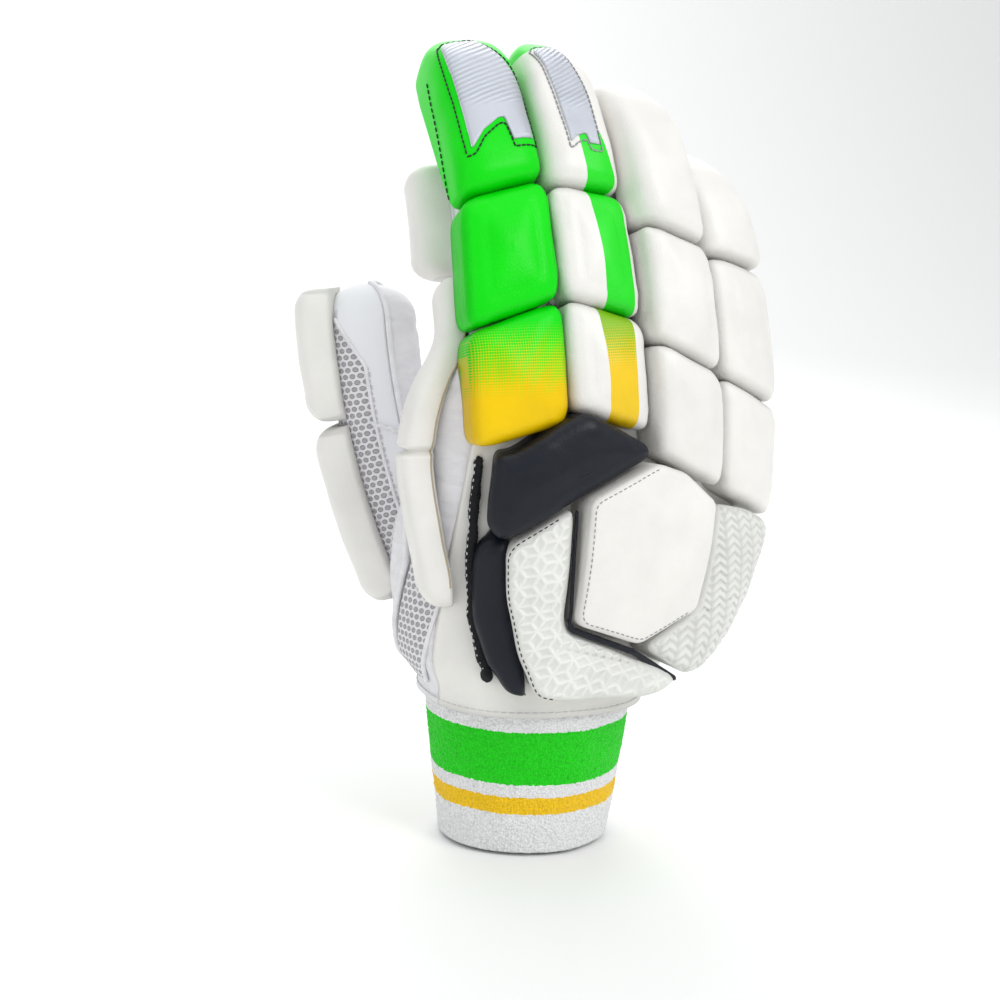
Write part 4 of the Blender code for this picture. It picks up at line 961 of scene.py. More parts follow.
def dye(finish, key, patches):
    """Dyes patches of a pad, each between two places of the key and between two slanting sides.

    A patch is (low, high, left side at low and high, right side at low and high, colour).
    """
    material, base_colour = finish
    source = add(material, "RGB")
    source.outputs[0].default_value = base_colour.inputs[6].default_value
    along = add(material, "Attribute", {"attribute_name": key})
    share = add(material, "Attribute", {"attribute_name": "share"})
    for low, high, left, right, paint in patches:
        hits = [add(material, "Math", {"operation": "GREATER_THAN", 1: low}, {0: along}),
                add(material, "Math", {"operation": "LESS_THAN", 1: high}, {0: along})]
        for (foot, head), side in ((left, "GREATER_THAN"), (right, "LESS_THAN")):
            edge = add(material, "MapRange", {1: low, 2: high, 3: foot, 4: head}, {0: along})
            hits.append(add(material, "Math", {"operation": side}, {0: share, 1: edge}))
        inside = hits[0]
        for other in hits[1:]:
            inside = add(material, "Math", {"operation": "MULTIPLY"}, {0: inside, 1: other})
        source = add(material, "Mix", MIXED, {0: inside, 6: source, 7: paint})
    wire(material, base_colour, {}, {6: source})


def halftone(material, low_mm, high_mm, ground, dots, pitch=0.92):
    """Print of small squares that grow from nothing to full cover between two heights."""
    along = add(material, "Attribute", {"attribute_name": "along_mm"})
    across = add(material, "Attribute", {"attribute_name": "across_mm"})
    spots = []
    for source in (along, across):
        cell = add(material, "Math", {"operation": "DIVIDE", 1: pitch}, {0: source})
        part = add(material, "Math", {"operation": "FRACT"}, {0: cell})
        part = add(material, "Math", {"operation": "SUBTRACT", 1: 0.5}, {0: part})
        spots.append(add(material, "Math", {"operation": "ABSOLUTE"}, {0: part}))
    far = add(material, "Math", {"operation": "MAXIMUM"}, {0: spots[0], 1: spots[1]})
    size = add(material, "MapRange", {1: low_mm, 2: high_mm, 3: 0.22, 4: 0.52}, {0: along})
    printed = add(material, "Math", {"operation": "LESS_THAN"}, {0: far, 1: size})
    start = add(material, "MapRange", {1: low_mm - 4, 2: low_mm + 3}, {0: along})
    amount = add(material, "Math", {"operation": "MULTIPLY"}, {0: printed, 1: start})
    fade = add(material, "MapRange", {1: low_mm, 2: high_mm, 4: 0.9}, {0: along})
    soft = add(material, "Mix", MIXED, {0: fade, 6: ground, 7: dots})
    return add(material, "Mix", MIXED, {0: amount, 6: soft, 7: dots})


# Printed coats: stripes with sharp slanting edges, and yellow that fades to green in small
# squares, which the eye blends from a distance.
middle_mid = coated("white pad leather with a green stripe", WHITE_SHADE)
dye(middle_mid, "rise", [(-1.1, 1.1, (0.02, -0.10), (0.74, 0.80), GREEN_SHADE)])
middle_base = coated("white pad leather with a yellow stripe", WHITE_SHADE)
dye(middle_base, "rise", [(-1.1, 1.1, (-0.12, -0.26), (0.55, 0.62), halftone(
    middle_base[0], 22.0, 38.0, YELLOW_SHADE, "#7FB800"))])
index_base = coated("yellow pad leather that fades to green", YELLOW_SHADE, 0.38, gloss=0.20)
dye(index_base, "rise", [(-2.0, 2.0, (-2.0, -2.0), (2.0, 2.0), halftone(
    index_base[0], 17.0, 40.0, YELLOW_SHADE, GREEN_SHADE))])
middle_tip = coated("white tip leather with a green stripe", WHITE_SHADE)
dye(middle_tip, "along_mm", [(138.5, 160.0, (-1.2, -1.2), (0.42, 0.30), GREEN_SHADE),
                             (70.0, 102.0, (0.02, -0.18), (1.02, 0.46), GREEN_SHADE)])
PAD_FINISHES = {
    ("index", "base"): (index_base[0], "yellow_pu"), ("index", "mid"): (PAD_GREEN, "green_pu"),
    ("middle", "base"): (middle_base[0], "white_pu"), ("middle", "mid"): (middle_mid[0], "white_pu"),
}
FOOT_FORMS = {}
for name in FINGERS:
    row, digit = ROWS[name], DIGITS[name]
    base_end, mid_end = row["base_end"] * FINGER_LENGTH, row["mid_end"] * FINGER_LENGTH
    grooves = [(0.0, row["slope_foot"]), (base_end, row["slope_base"]), (mid_end, row["slope_mid"])]
    foot_h, crest = digit.depth / 2 * (1 - PAD_FOOT), digit.depth / 2 + FINGER_PAD
    for part, ends in (("base", grooves[:2]), ("mid", grooves[1:])):
        material, slot = PAD_FINISHES.get((name, part), (PAD_WHITE, "white_pu"))
        half = (ends[1][0] - ends[0][0]) / 2
        place = functools.partial(pad_point, name, ends)
        pad = stuffed(f"{name}_{part}_block", place, foot_h, crest, FINGER_WIDTH / 2, half, material)
        trimmed(pad, [STALL_PLUGS[name]] + ([HAND_PLUG] if part == "base" else []))
        placed(pad, f"{name}_{part}_pad")
        if part == "base":
            FOOT_FORMS[name] = stuffed(f"{name}_foot_plug", place, foot_h - FIT_MARGIN, crest + FIT_MARGIN,
                                       FINGER_WIDTH / 2, half, PAD_WHITE, lumps=0.0, sides=60)
            outward(FOOT_FORMS[name].data)

# The end block of each finger is one more foam pad in coated leather. It wraps over the
# fingertip and is sewn down on the palm side, where it thins out.
TIP_SIDES, TIP_FACE_SQUARENESS, TIP_FOOT_SQUARENESS = 72, 3.2, 6.0


def tip_table(name):
    """Rows of an end block: place along the finger, inset, foot and crest heights."""
    digit, row = DIGITS[name], ROWS[name]
    half = digit.depth / 2
    crest, under, foot = half + FINGER_PAD, -half * TIP_WRAP, half * (1 - PAD_FOOT)
    start, end = row["mid_end"] * FINGER_LENGTH, row["tip_end"] * FINGER_LENGTH
    turn = digit.straight_end()
    # The index finger's block also covers more and more of the finger's side.
    side = (foot - under * 0.6) * (name == "index")
    over_finger = [
        (0.00, 0.0045, foot, crest - 0.0075), (0.025, 0.0018, foot, crest - 0.0042),
        (0.07, 0.0004, foot, crest - 0.0016), (0.16, 0.0, foot - side * 0.15, crest - 0.0002),
        (0.50, 0.0, foot - side * 0.6, crest), (1.00, 0.0, foot - side, crest - 0.002),
    ]
    over_end = [
        (0.38, 0.0008, under * 0.85, crest - 0.0055), (0.70, 0.0022, under, crest - 0.0125),
        (0.90, 0.0050, under * 0.85, crest - 0.0185), (0.985, 0.0085, under * 0.5, crest - 0.0235),
    ]
    rows = [(start + share * (turn - start), *rest) for share, *rest in over_finger]
    return np.array(rows + [(turn + share * (end - turn), *rest) for share, *rest in over_end])


def tip_point(name, s, a, h, inset):
    row = ROWS[name]
    start, end = row["mid_end"] * FINGER_LENGTH, row["tip_end"] * FINGER_LENGTH
    t = between_sides(name, s, a, h, inset)
    skew = row["slope_mid"] * t * (end - s) / (end - start)
    return DIGITS[name].point(s + skew + CLEARANCE / 2, t, h), t


def tip_face(name, s, a, lift=0.0):
    """Points on the face of an end block, a from -1 to 1 across."""
    s, a = np.broadcast_arrays(np.asarray(s, float), a)
    rows = smooth_rows(tip_table(name), s.ravel()).reshape(s.shape + (3,))
    inset, low, high = rows[..., 0], rows[..., 1], rows[..., 2]
    h = low + (high - low) * (1 - np.abs(a) ** TIP_FACE_SQUARENESS) ** (1 / TIP_FACE_SQUARENESS)
    points, _ = tip_point(name, s, a, h, inset)
    return points + np.broadcast_to(lift, s.shape)[..., None] * DIGITS[name].frame(s)[2]


# Windows: foot and head as shares of the end block's length, the left side at foot and head,
# the right side at foot and head, and how far the leather rises into the foot.
WINDOWS = {
    "index": (0.20, 0.82, (-0.62, -0.70), (0.74, 0.10), 0.20),
    "middle": (0.22, 0.82, (-0.40, -0.62), (0.36, 0.06), 0.08),
}
WINDOW_SHEET = 0.0008
# The stitching runs round a window at these shares of it: foot, head, left and right.
WINDOW_SEAM = (-0.06, 1.05, -0.07, 1.07)


def window_foot(name, g):
    """How far the leather rises into a window's foot at g."""
    places, rises = (0.0, 0.03, 0.22, 0.50, 0.60, 0.68), (0.0, 0.0, 0.58, 1.0, 1.0, 0.0)
    return WINDOWS[name][4] * np.interp(g, places, rises)


def window_point(name, f, g, lift):
    """Points of a window, f from foot to head and g from its left side to its right."""
    first, last, left, right_side, _ = WINDOWS[name]
    row = ROWS[name]
    start, end = row["mid_end"] * FINGER_LENGTH, row["tip_end"] * FINGER_LENGTH
    f, g = np.broadcast_arrays(np.asarray(f, float), g)
    foot = window_foot(name, g)
    rise = foot + (1 - foot) * f
    low = left[0] + (left[1] - left[0]) * rise
    high = right_side[0] + (right_side[1] - right_side[0]) * np.clip((rise - 0.45) / 0.55, 0, 1.1) ** 1.8
    corner = 1 - 0.06 * np.clip((0.12 - g) / 0.12, 0, 1) ** 2 * np.clip((f - 0.8) / 0.2, 0, 1)
    s = start + (first + (last - first) * rise * corner) * (end - start)
    return tip_face(name, s, low + (high - low) * g, lift)


TIP_FINISHES = {"index": (PAD_GREEN, "green_pu"), "middle": (middle_tip[0], "white_pu")}

# The windows are glossy silver vinyl with heat-pressed ribs, let into the end blocks. A half
# metallic coat gives soft bright streaks along the ribs, which are also painted in as colour,
# lighter on the rib crests and darker in the troughs, and the plain part above crinkles.
RIB_PITCH_MM, THICK_THREAD = 1.7, 0.00034
silver, shader = new_material("ribbed silver vinyl")
rib_place = add(silver, "Attribute", {"attribute_name": "up_mm"})
rib_side = add(silver, "Attribute", {"attribute_name": "round_mm"})
slant = add(silver, "Math", {"operation": "MULTIPLY_ADD", 1: -0.35}, {0: rib_side, 2: rib_place})
wave = add(silver, "Math", {"operation": "MULTIPLY", 1: 2 * math.pi / RIB_PITCH_MM}, {0: slant})
ribs = add(silver, "Math", {"operation": "SINE"}, {0: wave})
upper = add(silver, "MapRange", {1: 98.0, 2: 103.0, 3: 0.0, 4: 1.0}, {0: rib_place})
ribs = add(silver, "Math", {"operation": "MULTIPLY"}, {0: ribs, 1: upper})
crinkle = add(silver, "TexNoise", {"Scale": 240.0, "Detail": 3.0})
ribbed = add(silver, "Bump", {"Strength": 0.55, "Distance": 0.0004}, {"Height": ribs})
crinkled = add(silver, "Bump", {"Strength": 0.35, "Distance": 0.0004},
               {"Height": crinkle, "Normal": ribbed})
# Painted highlight and shade: the colour is lightest on the rib crests and darkest in the troughs.
painted_rib_highlight = add(silver, "MapRange", {1: -1.0, 2: 1.0, 3: 0.78, 4: 1.0}, {0: ribs})
plating_with_painted_highlight = add(silver, "Mix", DARKENED, {6: "#C9CDD6", 7: painted_rib_highlight})
wire(silver, shader, {"Metallic": 0.55, "Roughness": 0.33}, {"Base Color": plating_with_painted_highlight, "Normal": crinkled})
for name in FINGERS:
    digit, row = DIGITS[name], ROWS[name]
    table = tip_table(name)
    s = np.concatenate([np.linspace(table[0, 0], table[3, 0], 9)[:-1],
                        np.linspace(table[3, 0], table[5, 0], 26)[:-1],
                        np.linspace(table[5, 0], table[-1, 0], 18)])
    inset, low, high = smooth_rows(table, s).T[:, :, None]
    turns = np.linspace(0, 2 * math.pi, TIP_SIDES, endpoint=False)[None, :]
    a_up, b_up = squared(turns, TIP_FACE_SQUARENESS)
    a_low, b_low = squared(turns, TIP_FOOT_SQUARENESS)
    a, b = np.where(b_up < 0, a_low, a_up), np.where(b_up < 0, b_low, b_up)
    middle = low + (high - low) * 0.35
    h = middle + b * np.where(b > 0, high - middle, middle - low)
    places = np.broadcast_to(s[:, None], h.shape)
    points, t = tip_point(name, places, np.broadcast_to(a, h.shape), h, inset)
    normals = surface_normals(points)
    if ((points - points.mean(axis=1, keepdims=True)) * normals).sum() < 0:
        normals = -normals
    lift = rumple(points, 0.0005, 0.012, 2.0) + rumple(points, 0.0005, 0.026, 8.0)
    points = points + normals * (lift * np.clip(b, 0, 1))[..., None]
    end_s = row["tip_end"] * FINGER_LENGTH
    head, _ = tip_point(name, np.array([end_s + 0.0003]), np.array([0.0]), (low[-1] + high[-1]) / 2, 0.0)
    foot = points[0].mean(axis=0)
    near = np.clip(1 - (s - s[0]) / 0.006, 0, 1)[:, None] * np.ones_like(h)
    facts = {"seam": np.append(np.maximum(near, np.clip(-b, 0, 1)).ravel(), [1, 0]),
             "share": np.append(np.where(b < -0.5, -1.5, a + 0 * h).ravel(), [0, 0]),
             "along_mm": np.append(places.ravel(), [s[0], end_s]) * 1000,
             "across_mm": np.append(t.ravel(), [0, 0]) * 1000}
    material, slot = TIP_FINISHES.get(name, (PAD_WHITE, "white_pu"))
    piece = form(f"{name}_end_block", np.concatenate([points.reshape(-1, 3), [foot], head]),
                 capped(len(points), TIP_SIDES), material, facts)
    trimmed(piece, [STALL_PLUGS[name]])
    placed(piece, f"{name}_tip_pad")
    if name not in WINDOWS:
        continue
    panel = slab(f"{name}_silver_window",
                 lambda f, g, lift: laid_on(piece, window_point(name, f, g, 0.0), lift),
                 80, 60, WINDOW_SHEET, 0.0001, silver,
                 lambda f, g: {"up_mm": 85 + 42 * (window_foot(name, g) + (1 - window_foot(name, g)) * f),
                               "round_mm": (g - 0.5) * 18})
    placed(panel, f"{name}_window")
    low, high, left, right_side = WINDOW_SEAM
    edge_f = np.concatenate([np.full(160, low), np.linspace(low, high, 90), np.full(60, high),
                             np.linspace(high, low, 90)])
    edge_g = np.concatenate([np.linspace(left, right_side, 160), np.full(90, right_side),
                             np.linspace(right_side, left, 60), np.full(90, left)])
    rim = laid_on(piece, window_point(name, edge_f, edge_g, 0.0), 0.0002)
    stitches(f"{name}_window_stitching", rim, BLACK_THREAD if name == "index" else GREY_THREAD,
             0.0018, 0.0006, THICK_THREAD)
    if name == "index":
        side_s = np.linspace(s[0] + 0.004, digit.straight_end() + 0.004, 90)
        side_line, _ = tip_point(name, side_s, np.full(90, -1.015), np.full(90, digit.depth / 2 * 0.9), 0.0)
        stitches("index_side_stitching", laid_on(piece, side_line, 0.0002), BLACK_THREAD,
                 0.0020, 0.0008, THICK_THREAD)

# Blocks on the back of the hand: cut foam shapes in coated leather, sewn along their edges
# to the shell. Outlines are shares of the hand's width round it and of its height up it.
KNUCKLE_ROLL = [
    (-0.490, 0.802), (-0.440, 0.812), (-0.300, 0.892), (-0.245, 0.912), (-0.190, 0.908),
    (-0.020, 0.885), (-0.020, 0.858), (-0.185, 0.776), (-0.225, 0.757), (-0.365, 0.680),
    (-0.400, 0.664), (-0.430, 0.668), (-0.468, 0.692),
]
HEXAGON = [
    (-0.004, 0.855), (-0.212, 0.756), (-0.148, 0.532), (-0.128, 0.514), (0.085, 0.475),
    (0.238, 0.558), (0.238, 0.800), (0.105, 0.850),
]
LEFT_BLOCK = [
    (-0.394, 0.653), (-0.252, 0.734), (-0.232, 0.727), (-0.166, 0.530), (-0.140, 0.504),
    (0.285, 0.414), (0.262, 0.398), (0.180, 0.380), (-0.050, 0.370), (-0.125, 0.375),
    (-0.165, 0.390), (-0.250, 0.454), (-0.345, 0.560),
]
RIGHT_BLOCK = [
    (0.256, 0.800), (0.256, 0.552), (0.116, 0.468), (0.300, 0.418), (0.395, 0.425),
    (0.480, 0.480), (0.545, 0.575), (0.560, 0.690), (0.530, 0.790), (0.400, 0.805),
]


BLOCK_SEAT = 0.0002


def rounded_outline(outline, radius, count):
    """An outline in metres with its corners rounded, as evenly spaced points."""
    corners = [np.array((u * HAND_WIDTH, v * HAND_HEIGHT)) for u, v in outline]
    points = []
    for k, corner in enumerate(corners):
        before, after = corners[k - 1], corners[(k + 1) % len(corners)]
        one = corner + (before - corner) * min(radius / np.linalg.norm(before - corner), 0.45)
        two = corner + (after - corner) * min(radius / np.linalg.norm(after - corner), 0.45)
        for f in np.linspace(0, 1, 7):
            points.append((1 - f) ** 2 * one + 2 * f * (1 - f) * corner + f**2 * two)
    points.append(points[0])
    along = run_of(points)
    return sampled(points, np.linspace(0, along[-1], count, endpoint=False), along)


def inner_distance(flat, rim):
    """How far each ring of flat points lies from the outline."""
    return np.array([np.linalg.norm(ring[:, None] - rim[None], axis=2).min(axis=1) for ring in flat])


def raised_block(name, outline, middle, height, radius, material, edge=0.0058, crown=0.0018, count=200,
                 rings=24, relief=None, side="back"):
    """A block on the hand from its outline; relief(u, v, d) lifts its face, d from its rim."""
    rim = rounded_outline(outline, radius, count)
    middle = np.array((middle[0] * HAND_WIDTH, middle[1] * HAND_HEIGHT))
    ahead = np.roll(rim, -1, axis=0) - np.roll(rim, 1, axis=0)
    inward = np.stack([-ahead[:, 1], ahead[:, 0]], axis=1) / np.linalg.norm(ahead, axis=1, keepdims=True)
    if ((middle - rim) * inward).sum() < 0:
        inward = -inward
    trim = rim + inward * CLEARANCE * 1.5
    edge = min(edge, height * 0.6)
    wall = height - edge
    keeps = 1 - np.linspace(0, 1, rings + 1)[:-1] ** 1.35
    levels = [(BLOCK_SEAT, 0.3), (BLOCK_SEAT, 0.7), (BLOCK_SEAT, 1.0), (wall * 0.5, 1.0)]
    flat = middle + (trim - middle) * np.array([keep for _, keep in levels] + list(keeps))[:, None, None]
    d = inner_distance(flat, rim)
    lift = wall + edge * np.sqrt(np.clip(1 - (1 - np.clip(d / edge, 0, 1)) ** 2, 0, 1))
    lift += crown * (1 - np.exp(-(d / 0.012) ** 2))
    pressed = relief(flat[..., 0], flat[..., 1], d) if relief else 0 * lift
    lift += pressed
    for k, (fixed, _) in enumerate(levels):
        lift[k] = fixed
    points = on_hand(flat[..., 0], flat[..., 1], lift, side)
    normals = on_hand(flat[..., 0], flat[..., 1], lift + 1.0, side) - points
    soft = rumple(points, 0.0005, 0.014, 6.0) + rumple(points, 0.0005, 0.03, 1.0)
    soft += rumple(points, 0.00025, 0.005, 2.0) * np.clip(1 - np.abs(d - edge) / edge, 0, 1)
    points[len(levels):] += (normals * soft[..., None])[len(levels):]
    ends = on_hand([middle[0]] * 2, [middle[1]] * 2, np.array([BLOCK_SEAT, height + crown]), side)
    seams = np.clip(1 - d / (edge * 1.3), 0, 1)
    places = np.concatenate([flat.reshape(-1, 2), [middle, middle]]) * 1000
    facts = {"seam": np.append(seams.ravel(), [1, 0]), "across_mm": places[:, 0],
             "along_mm": places[:, 1], "pressed_mm": np.append(pressed.ravel() * 1000, [0, 0])}
    piece = form(name, np.concatenate([points.reshape(-1, 3), ends]), capped(len(points), count),
                 material, facts)
    return piece, rim


def outline_path(rim, first, last, height, inset, middle, side="back"):
    """A path over part of a block's rim, from one share of its length to another."""
    count = len(rim)
    picks = np.arange(int(first * count), int(last * count) + 1) % count
    middle = np.array((middle[0] * HAND_WIDTH, middle[1] * HAND_HEIGHT))
    flat = rim[picks]
    flat = flat + (middle - flat) / np.linalg.norm(middle - flat, axis=1, keepdims=True) * inset
    return on_hand(flat[:, 0], flat[:, 1], height, side)


# The navy coat is nearly black and finely grained, and its folds show only by their shine.
NAVY, _ = coated("navy coated leather", NAVY_SHADE, 0.40, grain=0.0009, depth=0.00008, gloss=0.3)
roll, _ = raised_block("knuckle_roll_block", KNUCKLE_ROLL, (-0.24, 0.80), 0.017, 0.004, NAVY)
trimmed(roll, [FOOT_FORMS["index"], FOOT_FORMS["middle"]])
placed(roll, "knuckle_roll")

HEX_MIDDLE = (0.05, 0.68)
hexagon, hex_rim = raised_block("hexagon_block", HEXAGON, HEX_MIDDLE, 0.019, 0.003, PAD_WHITE,
                                edge=0.0034, crown=0.0012)
trimmed(hexagon, [FOOT_FORMS["middle"], FOOT_FORMS["ring"]])
placed(hexagon, "badge_pad")
hex_seam = laid_on(hexagon, outline_path(hex_rim, 0.02, 0.62, 0.0190, 0.0019, HEX_MIDDLE), 0.0001)
stitches("hexagon_stitching", hex_seam, GREY_THREAD, 0.0015, 0.0008, 0.00022)

# The side blocks are more foam under coated leather, with a pressed relief: a common tiling
# of cubes, 7 mm across, on the left one, and rows of knit-like chevrons, 3.6 mm apart, on the
# right one. The low places of the relief are painted darker, as the shade that falls in them.
CUBE, RELIEF = 0.0041, 0.00075
CUBE_TURN, CHEVRON_TURN = math.radians(12), math.radians(-14)
CHEVRON_WIDTH, CHEVRON_RISE = 0.0068, 0.0036


def turned(x, y, angle):
    return x * math.cos(angle) - y * math.sin(angle), x * math.sin(angle) + y * math.cos(angle)


def cube_relief(u, v, d):
    """Height of the pressed cubes: ridges along the edges of three rhombi to each hexagon."""
    x, y = turned(u, v, CUBE_TURN)
    x, y, root = x / CUBE, y / CUBE, math.sqrt(3)
    spots = []
    for odd in (0, 1):
        cx = (np.round(x / root - odd / 2) + odd / 2) * root
        cy = (np.round(y / 3 - odd / 2) + odd / 2) * 3
        spots.append((x - cx, y - cy))
    near = (spots[0][0] ** 2 + spots[0][1] ** 2) < (spots[1][0] ** 2 + spots[1][1] ** 2)
    dx, dy = np.where(near, spots[0][0], spots[1][0]), np.where(near, spots[0][1], spots[1][1])
    best = np.full(np.shape(x), 9.0)
    for spoke in (90, 210, 330):
        ahead, side = turned(dx, dy, -math.radians(spoke))
        best = np.minimum(best, np.where(ahead > -0.05, np.abs(side), 9.0))
    for spoke in range(0, 360, 60):
        best = np.minimum(best, np.abs(root / 2 - turned(dx, dy, -math.radians(spoke))[0]))
    return RELIEF * (np.exp(-((best / 0.17) ** 2)) - 0.3) * np.clip((d - 0.0012) / 0.0015, 0, 1)


def chevron_relief(u, v, d):
    """Height of the pressed chevrons, which leave the inner edge of the block plain."""
    x, y = turned(u, v, CHEVRON_TURN)
    column = np.mod(x / CHEVRON_WIDTH, 1.0)
    row = np.mod(y / CHEVRON_RISE + 0.8 * np.abs(2 * column - 1), 1.0)
    from_column = np.minimum(column, 1 - column)
    groove = np.exp(-((row - 0.5) / 0.18) ** 2) + 0.8 * np.exp(-(from_column / 0.10) ** 2)
    plain = np.clip((inner_distance(np.stack([u, v], axis=-1), hex_rim) - 0.0045) / 0.0010, 0, 1)
    return -1.1 * RELIEF * np.minimum(groove, 1.2) * plain * np.clip((d - 0.0004) / 0.0012, 0, 1)


EMBOSSED_SHADE = "#E8E8E3"
EMBOSSED, base_colour = coated("embossed white coated leather", EMBOSSED_SHADE, 0.45, grain=0.0011)
pressed = add(EMBOSSED, "Attribute", {"attribute_name": "pressed_mm"})
# Painted shade: the colour darkens in the low places of the pressed relief.
painted_groove_shade = add(EMBOSSED, "MapRange", {1: -0.8, 2: 0.5, 3: 0.80, 4: 1.03}, {0: pressed})
painted_shade = add(EMBOSSED, "Mix", DARKENED, {6: EMBOSSED_SHADE, 7: painted_groove_shade})
wire(EMBOSSED, base_colour, {}, {6: painted_shade})
LEFT_MIDDLE, RIGHT_MIDDLE = (-0.150, 0.470), (0.375, 0.590)
left, left_rim = raised_block("left_side_block", LEFT_BLOCK, LEFT_MIDDLE, 0.014, 0.005, EMBOSSED,
                              edge=0.0035, count=600, rings=110, relief=cube_relief)
placed(left, "left_block")
right_block, _ = raised_block("right_side_block", RIGHT_BLOCK, RIGHT_MIDDLE, 0.015, 0.006, EMBOSSED,
                              edge=0.0050, count=520, rings=96, relief=chevron_relief)
trimmed(right_block, [FOOT_FORMS["ring"], FOOT_FORMS["little"]])
placed(right_block, "right_block")
left_seam = laid_on(left, outline_path(left_rim, 0.74, 1.10, 0.0138, 0.0007, LEFT_MIDDLE), 0.0001)
stitches("left_block_stitching", left_seam, BLACK_THREAD, 0.0015, 0.0009, FINE_THREAD)

# Navy piping runs in the groove under the hexagon and out to the edge of the left block.
GROOVE = [
    (-0.226, 0.733, 0.0120), (-0.196, 0.640, 0.0128), (-0.158, 0.545, 0.0135), (-0.150, 0.520, 0.0138),
    (-0.134, 0.506, 0.0140), (0.085, 0.462, 0.0142), (0.285, 0.411, 0.0122),
]
groove_line = on_hand(*(np.array(GROOVE) * (HAND_WIDTH, HAND_HEIGHT, 1.0)).T)
cord_along("groove_piping", groove_line[3:], 0.0012, NAVY)
cord_along("groove_trim", groove_line[:5], 0.0007, NAVY)


# The dark side panel is a narrow foam-backed strip of navy leather beside the left block.
def ridge(name, line, width, height, material, stations=70, sides=14):
    """A raised strip along a line on the back of the hand, with a share of its width at each point."""
    line = np.array(line) * (HAND_WIDTH, HAND_HEIGHT, 1.0)
    along = run_of(line[:, :2])
    places = np.linspace(0, along[-1], stations)
    u, v, scale = sampled(line, places, along).T.copy()
    for values in (u, v):
        values[1:-1] = np.convolve(np.pad(values, 4, mode="edge"), np.ones(9) / 9, "valid")[1:-1]
    way = np.gradient(np.stack([u, v], axis=1), axis=0)
    way /= np.linalg.norm(way, axis=1, keepdims=True)
    ends = np.minimum(places, along[-1] - places)
    closing = np.sqrt(np.clip(1 - (1 - np.clip(ends / (width * 0.6), 0, 1)) ** 2, 0.04, 1))
    turns = np.linspace(0, math.pi, sides)
    a, b = squared(turns, 3.0)
    reach = (width / 2 * scale * closing)[:, None] * a[None, :]
    lift = height * closing[:, None] * b[None, :]
    points = on_hand(u[:, None] - way[:, 1:] * reach, v[:, None] + way[:, :1] * reach, lift + BLOCK_SEAT)
    faces = grid_faces(stations, sides, around=True)
    last = (stations - 1) * sides
    faces += [tuple(range(sides))[::-1], tuple(range(last, last + sides))]
    seam = np.broadcast_to(1 - b[None, :], reach.shape)
    return form(name, points, faces, material, {"seam": seam})


DARK_PANEL = [
    (-0.432, 0.668, 0.85), (-0.405, 0.610, 1.0), (-0.362, 0.530, 1.0), (-0.278, 0.448, 0.82),
    (-0.205, 0.394, 0.44), (-0.152, 0.370, 0.08),
]
panel = ridge("dark_side_panel", DARK_PANEL, 0.0138, 0.0085, NAVY)
placed(panel, "dark_panel")

# The edging is a doubled black tape with a rough cut edge, overcast with white thread and
# knotted at its foot. It is rough and fibrous, and so hardly shines.
TAPE_WIDTH = 0.0035
frayed, shader = new_material("black cut tape")
fibre = add(frayed, "TexNoise", {"Scale": 700.0, "Detail": 4.0})
fluff = add(frayed, "Bump", {"Strength": 1.0, "Distance": 0.0006}, {"Height": fibre})
worn = add(frayed, "Mix", MIXED, {0: fibre, 6: "#0B0C0F", 7: "#2A2C32"})
wire(frayed, shader, {"Roughness": 0.85}, {"Base Color": worn, "Normal": fluff})
EDGING = [
    (-0.525, 0.785, 1.0), (-0.505, 0.700, 1.0), (-0.470, 0.605, 1.0), (-0.413, 0.512, 1.0),
    (-0.338, 0.440, 1.0), (-0.298, 0.413, 1.0),
]
tape = ridge("black_edging", EDGING, TAPE_WIDTH, TAPE_WIDTH, frayed, stations=420)
for vertex in tape.data.vertices:
    fine_fray, coarse_fray = (noise.noise_vector(vertex.co * scale) for scale in (1300.0, 190.0))
    vertex.co += fine_fray * 0.0004 + coarse_fray * 0.0006
placed(tape, "edging")
corners = np.arange(len(EDGING))
edging_line = np.array(EDGING)[:, :2] * (HAND_WIDTH, HAND_HEIGHT)
edge_u, edge_v = sampled(edging_line, np.linspace(0, corners[-1], 120), corners).T
edging_seam = on_hand(edge_u - 0.0012, edge_v, 0.0034)
stitches("edging_stitching", edging_seam, WHITE_THREAD, 0.0013, 0.0015, 0.00028)
knot_turns = np.linspace(0, 2 * math.pi, 16, endpoint=False)[None, :]
knot_rise = np.linspace(-0.98, 0.98, 12)[:, None]
knot_reach = np.sqrt(1 - knot_rise**2)
knot = np.stack([0.0024 * knot_reach * np.cos(knot_turns), 0.0022 * knot_reach * np.sin(knot_turns),
                 0.0030 * knot_rise + 0 * knot_turns], axis=-1)
knot = knot * (1 + rumple(knot, 0.25, 0.002)[..., None])
knot = knot + on_hand(EDGING[-1][0] * HAND_WIDTH, EDGING[-1][1] * HAND_HEIGHT - 0.001, 0.0026)
knot_faces = grid_faces(12, 16, around=True) + [tuple(range(16))[::-1], tuple(range(176, 192))]
placed(form("edging_knot", knot, knot_faces, frayed))

# A panel of open mesh lets air in at the heel of the thumb. Piped edges close it off.
# Its near edge and its width are given at its foot, with how much they change up to its head.
MESH_PANEL_LEVELS = (0.0655, 0.1060)
MESH_PANEL_EDGE, MESH_PANEL_WIDTH = (-0.0865, 0.006), (0.021, -0.004)


def mesh_panel_point(f, g, lift):
    level = MESH_PANEL_LEVELS[0] + (MESH_PANEL_LEVELS[1] - MESH_PANEL_LEVELS[0]) * f
    edge = MESH_PANEL_EDGE[0] + MESH_PANEL_EDGE[1] * f
    width = MESH_PANEL_WIDTH[0] + MESH_PANEL_WIDTH[1] * f
    return on_hand(edge + g * width, level, 0.0009 + lift)


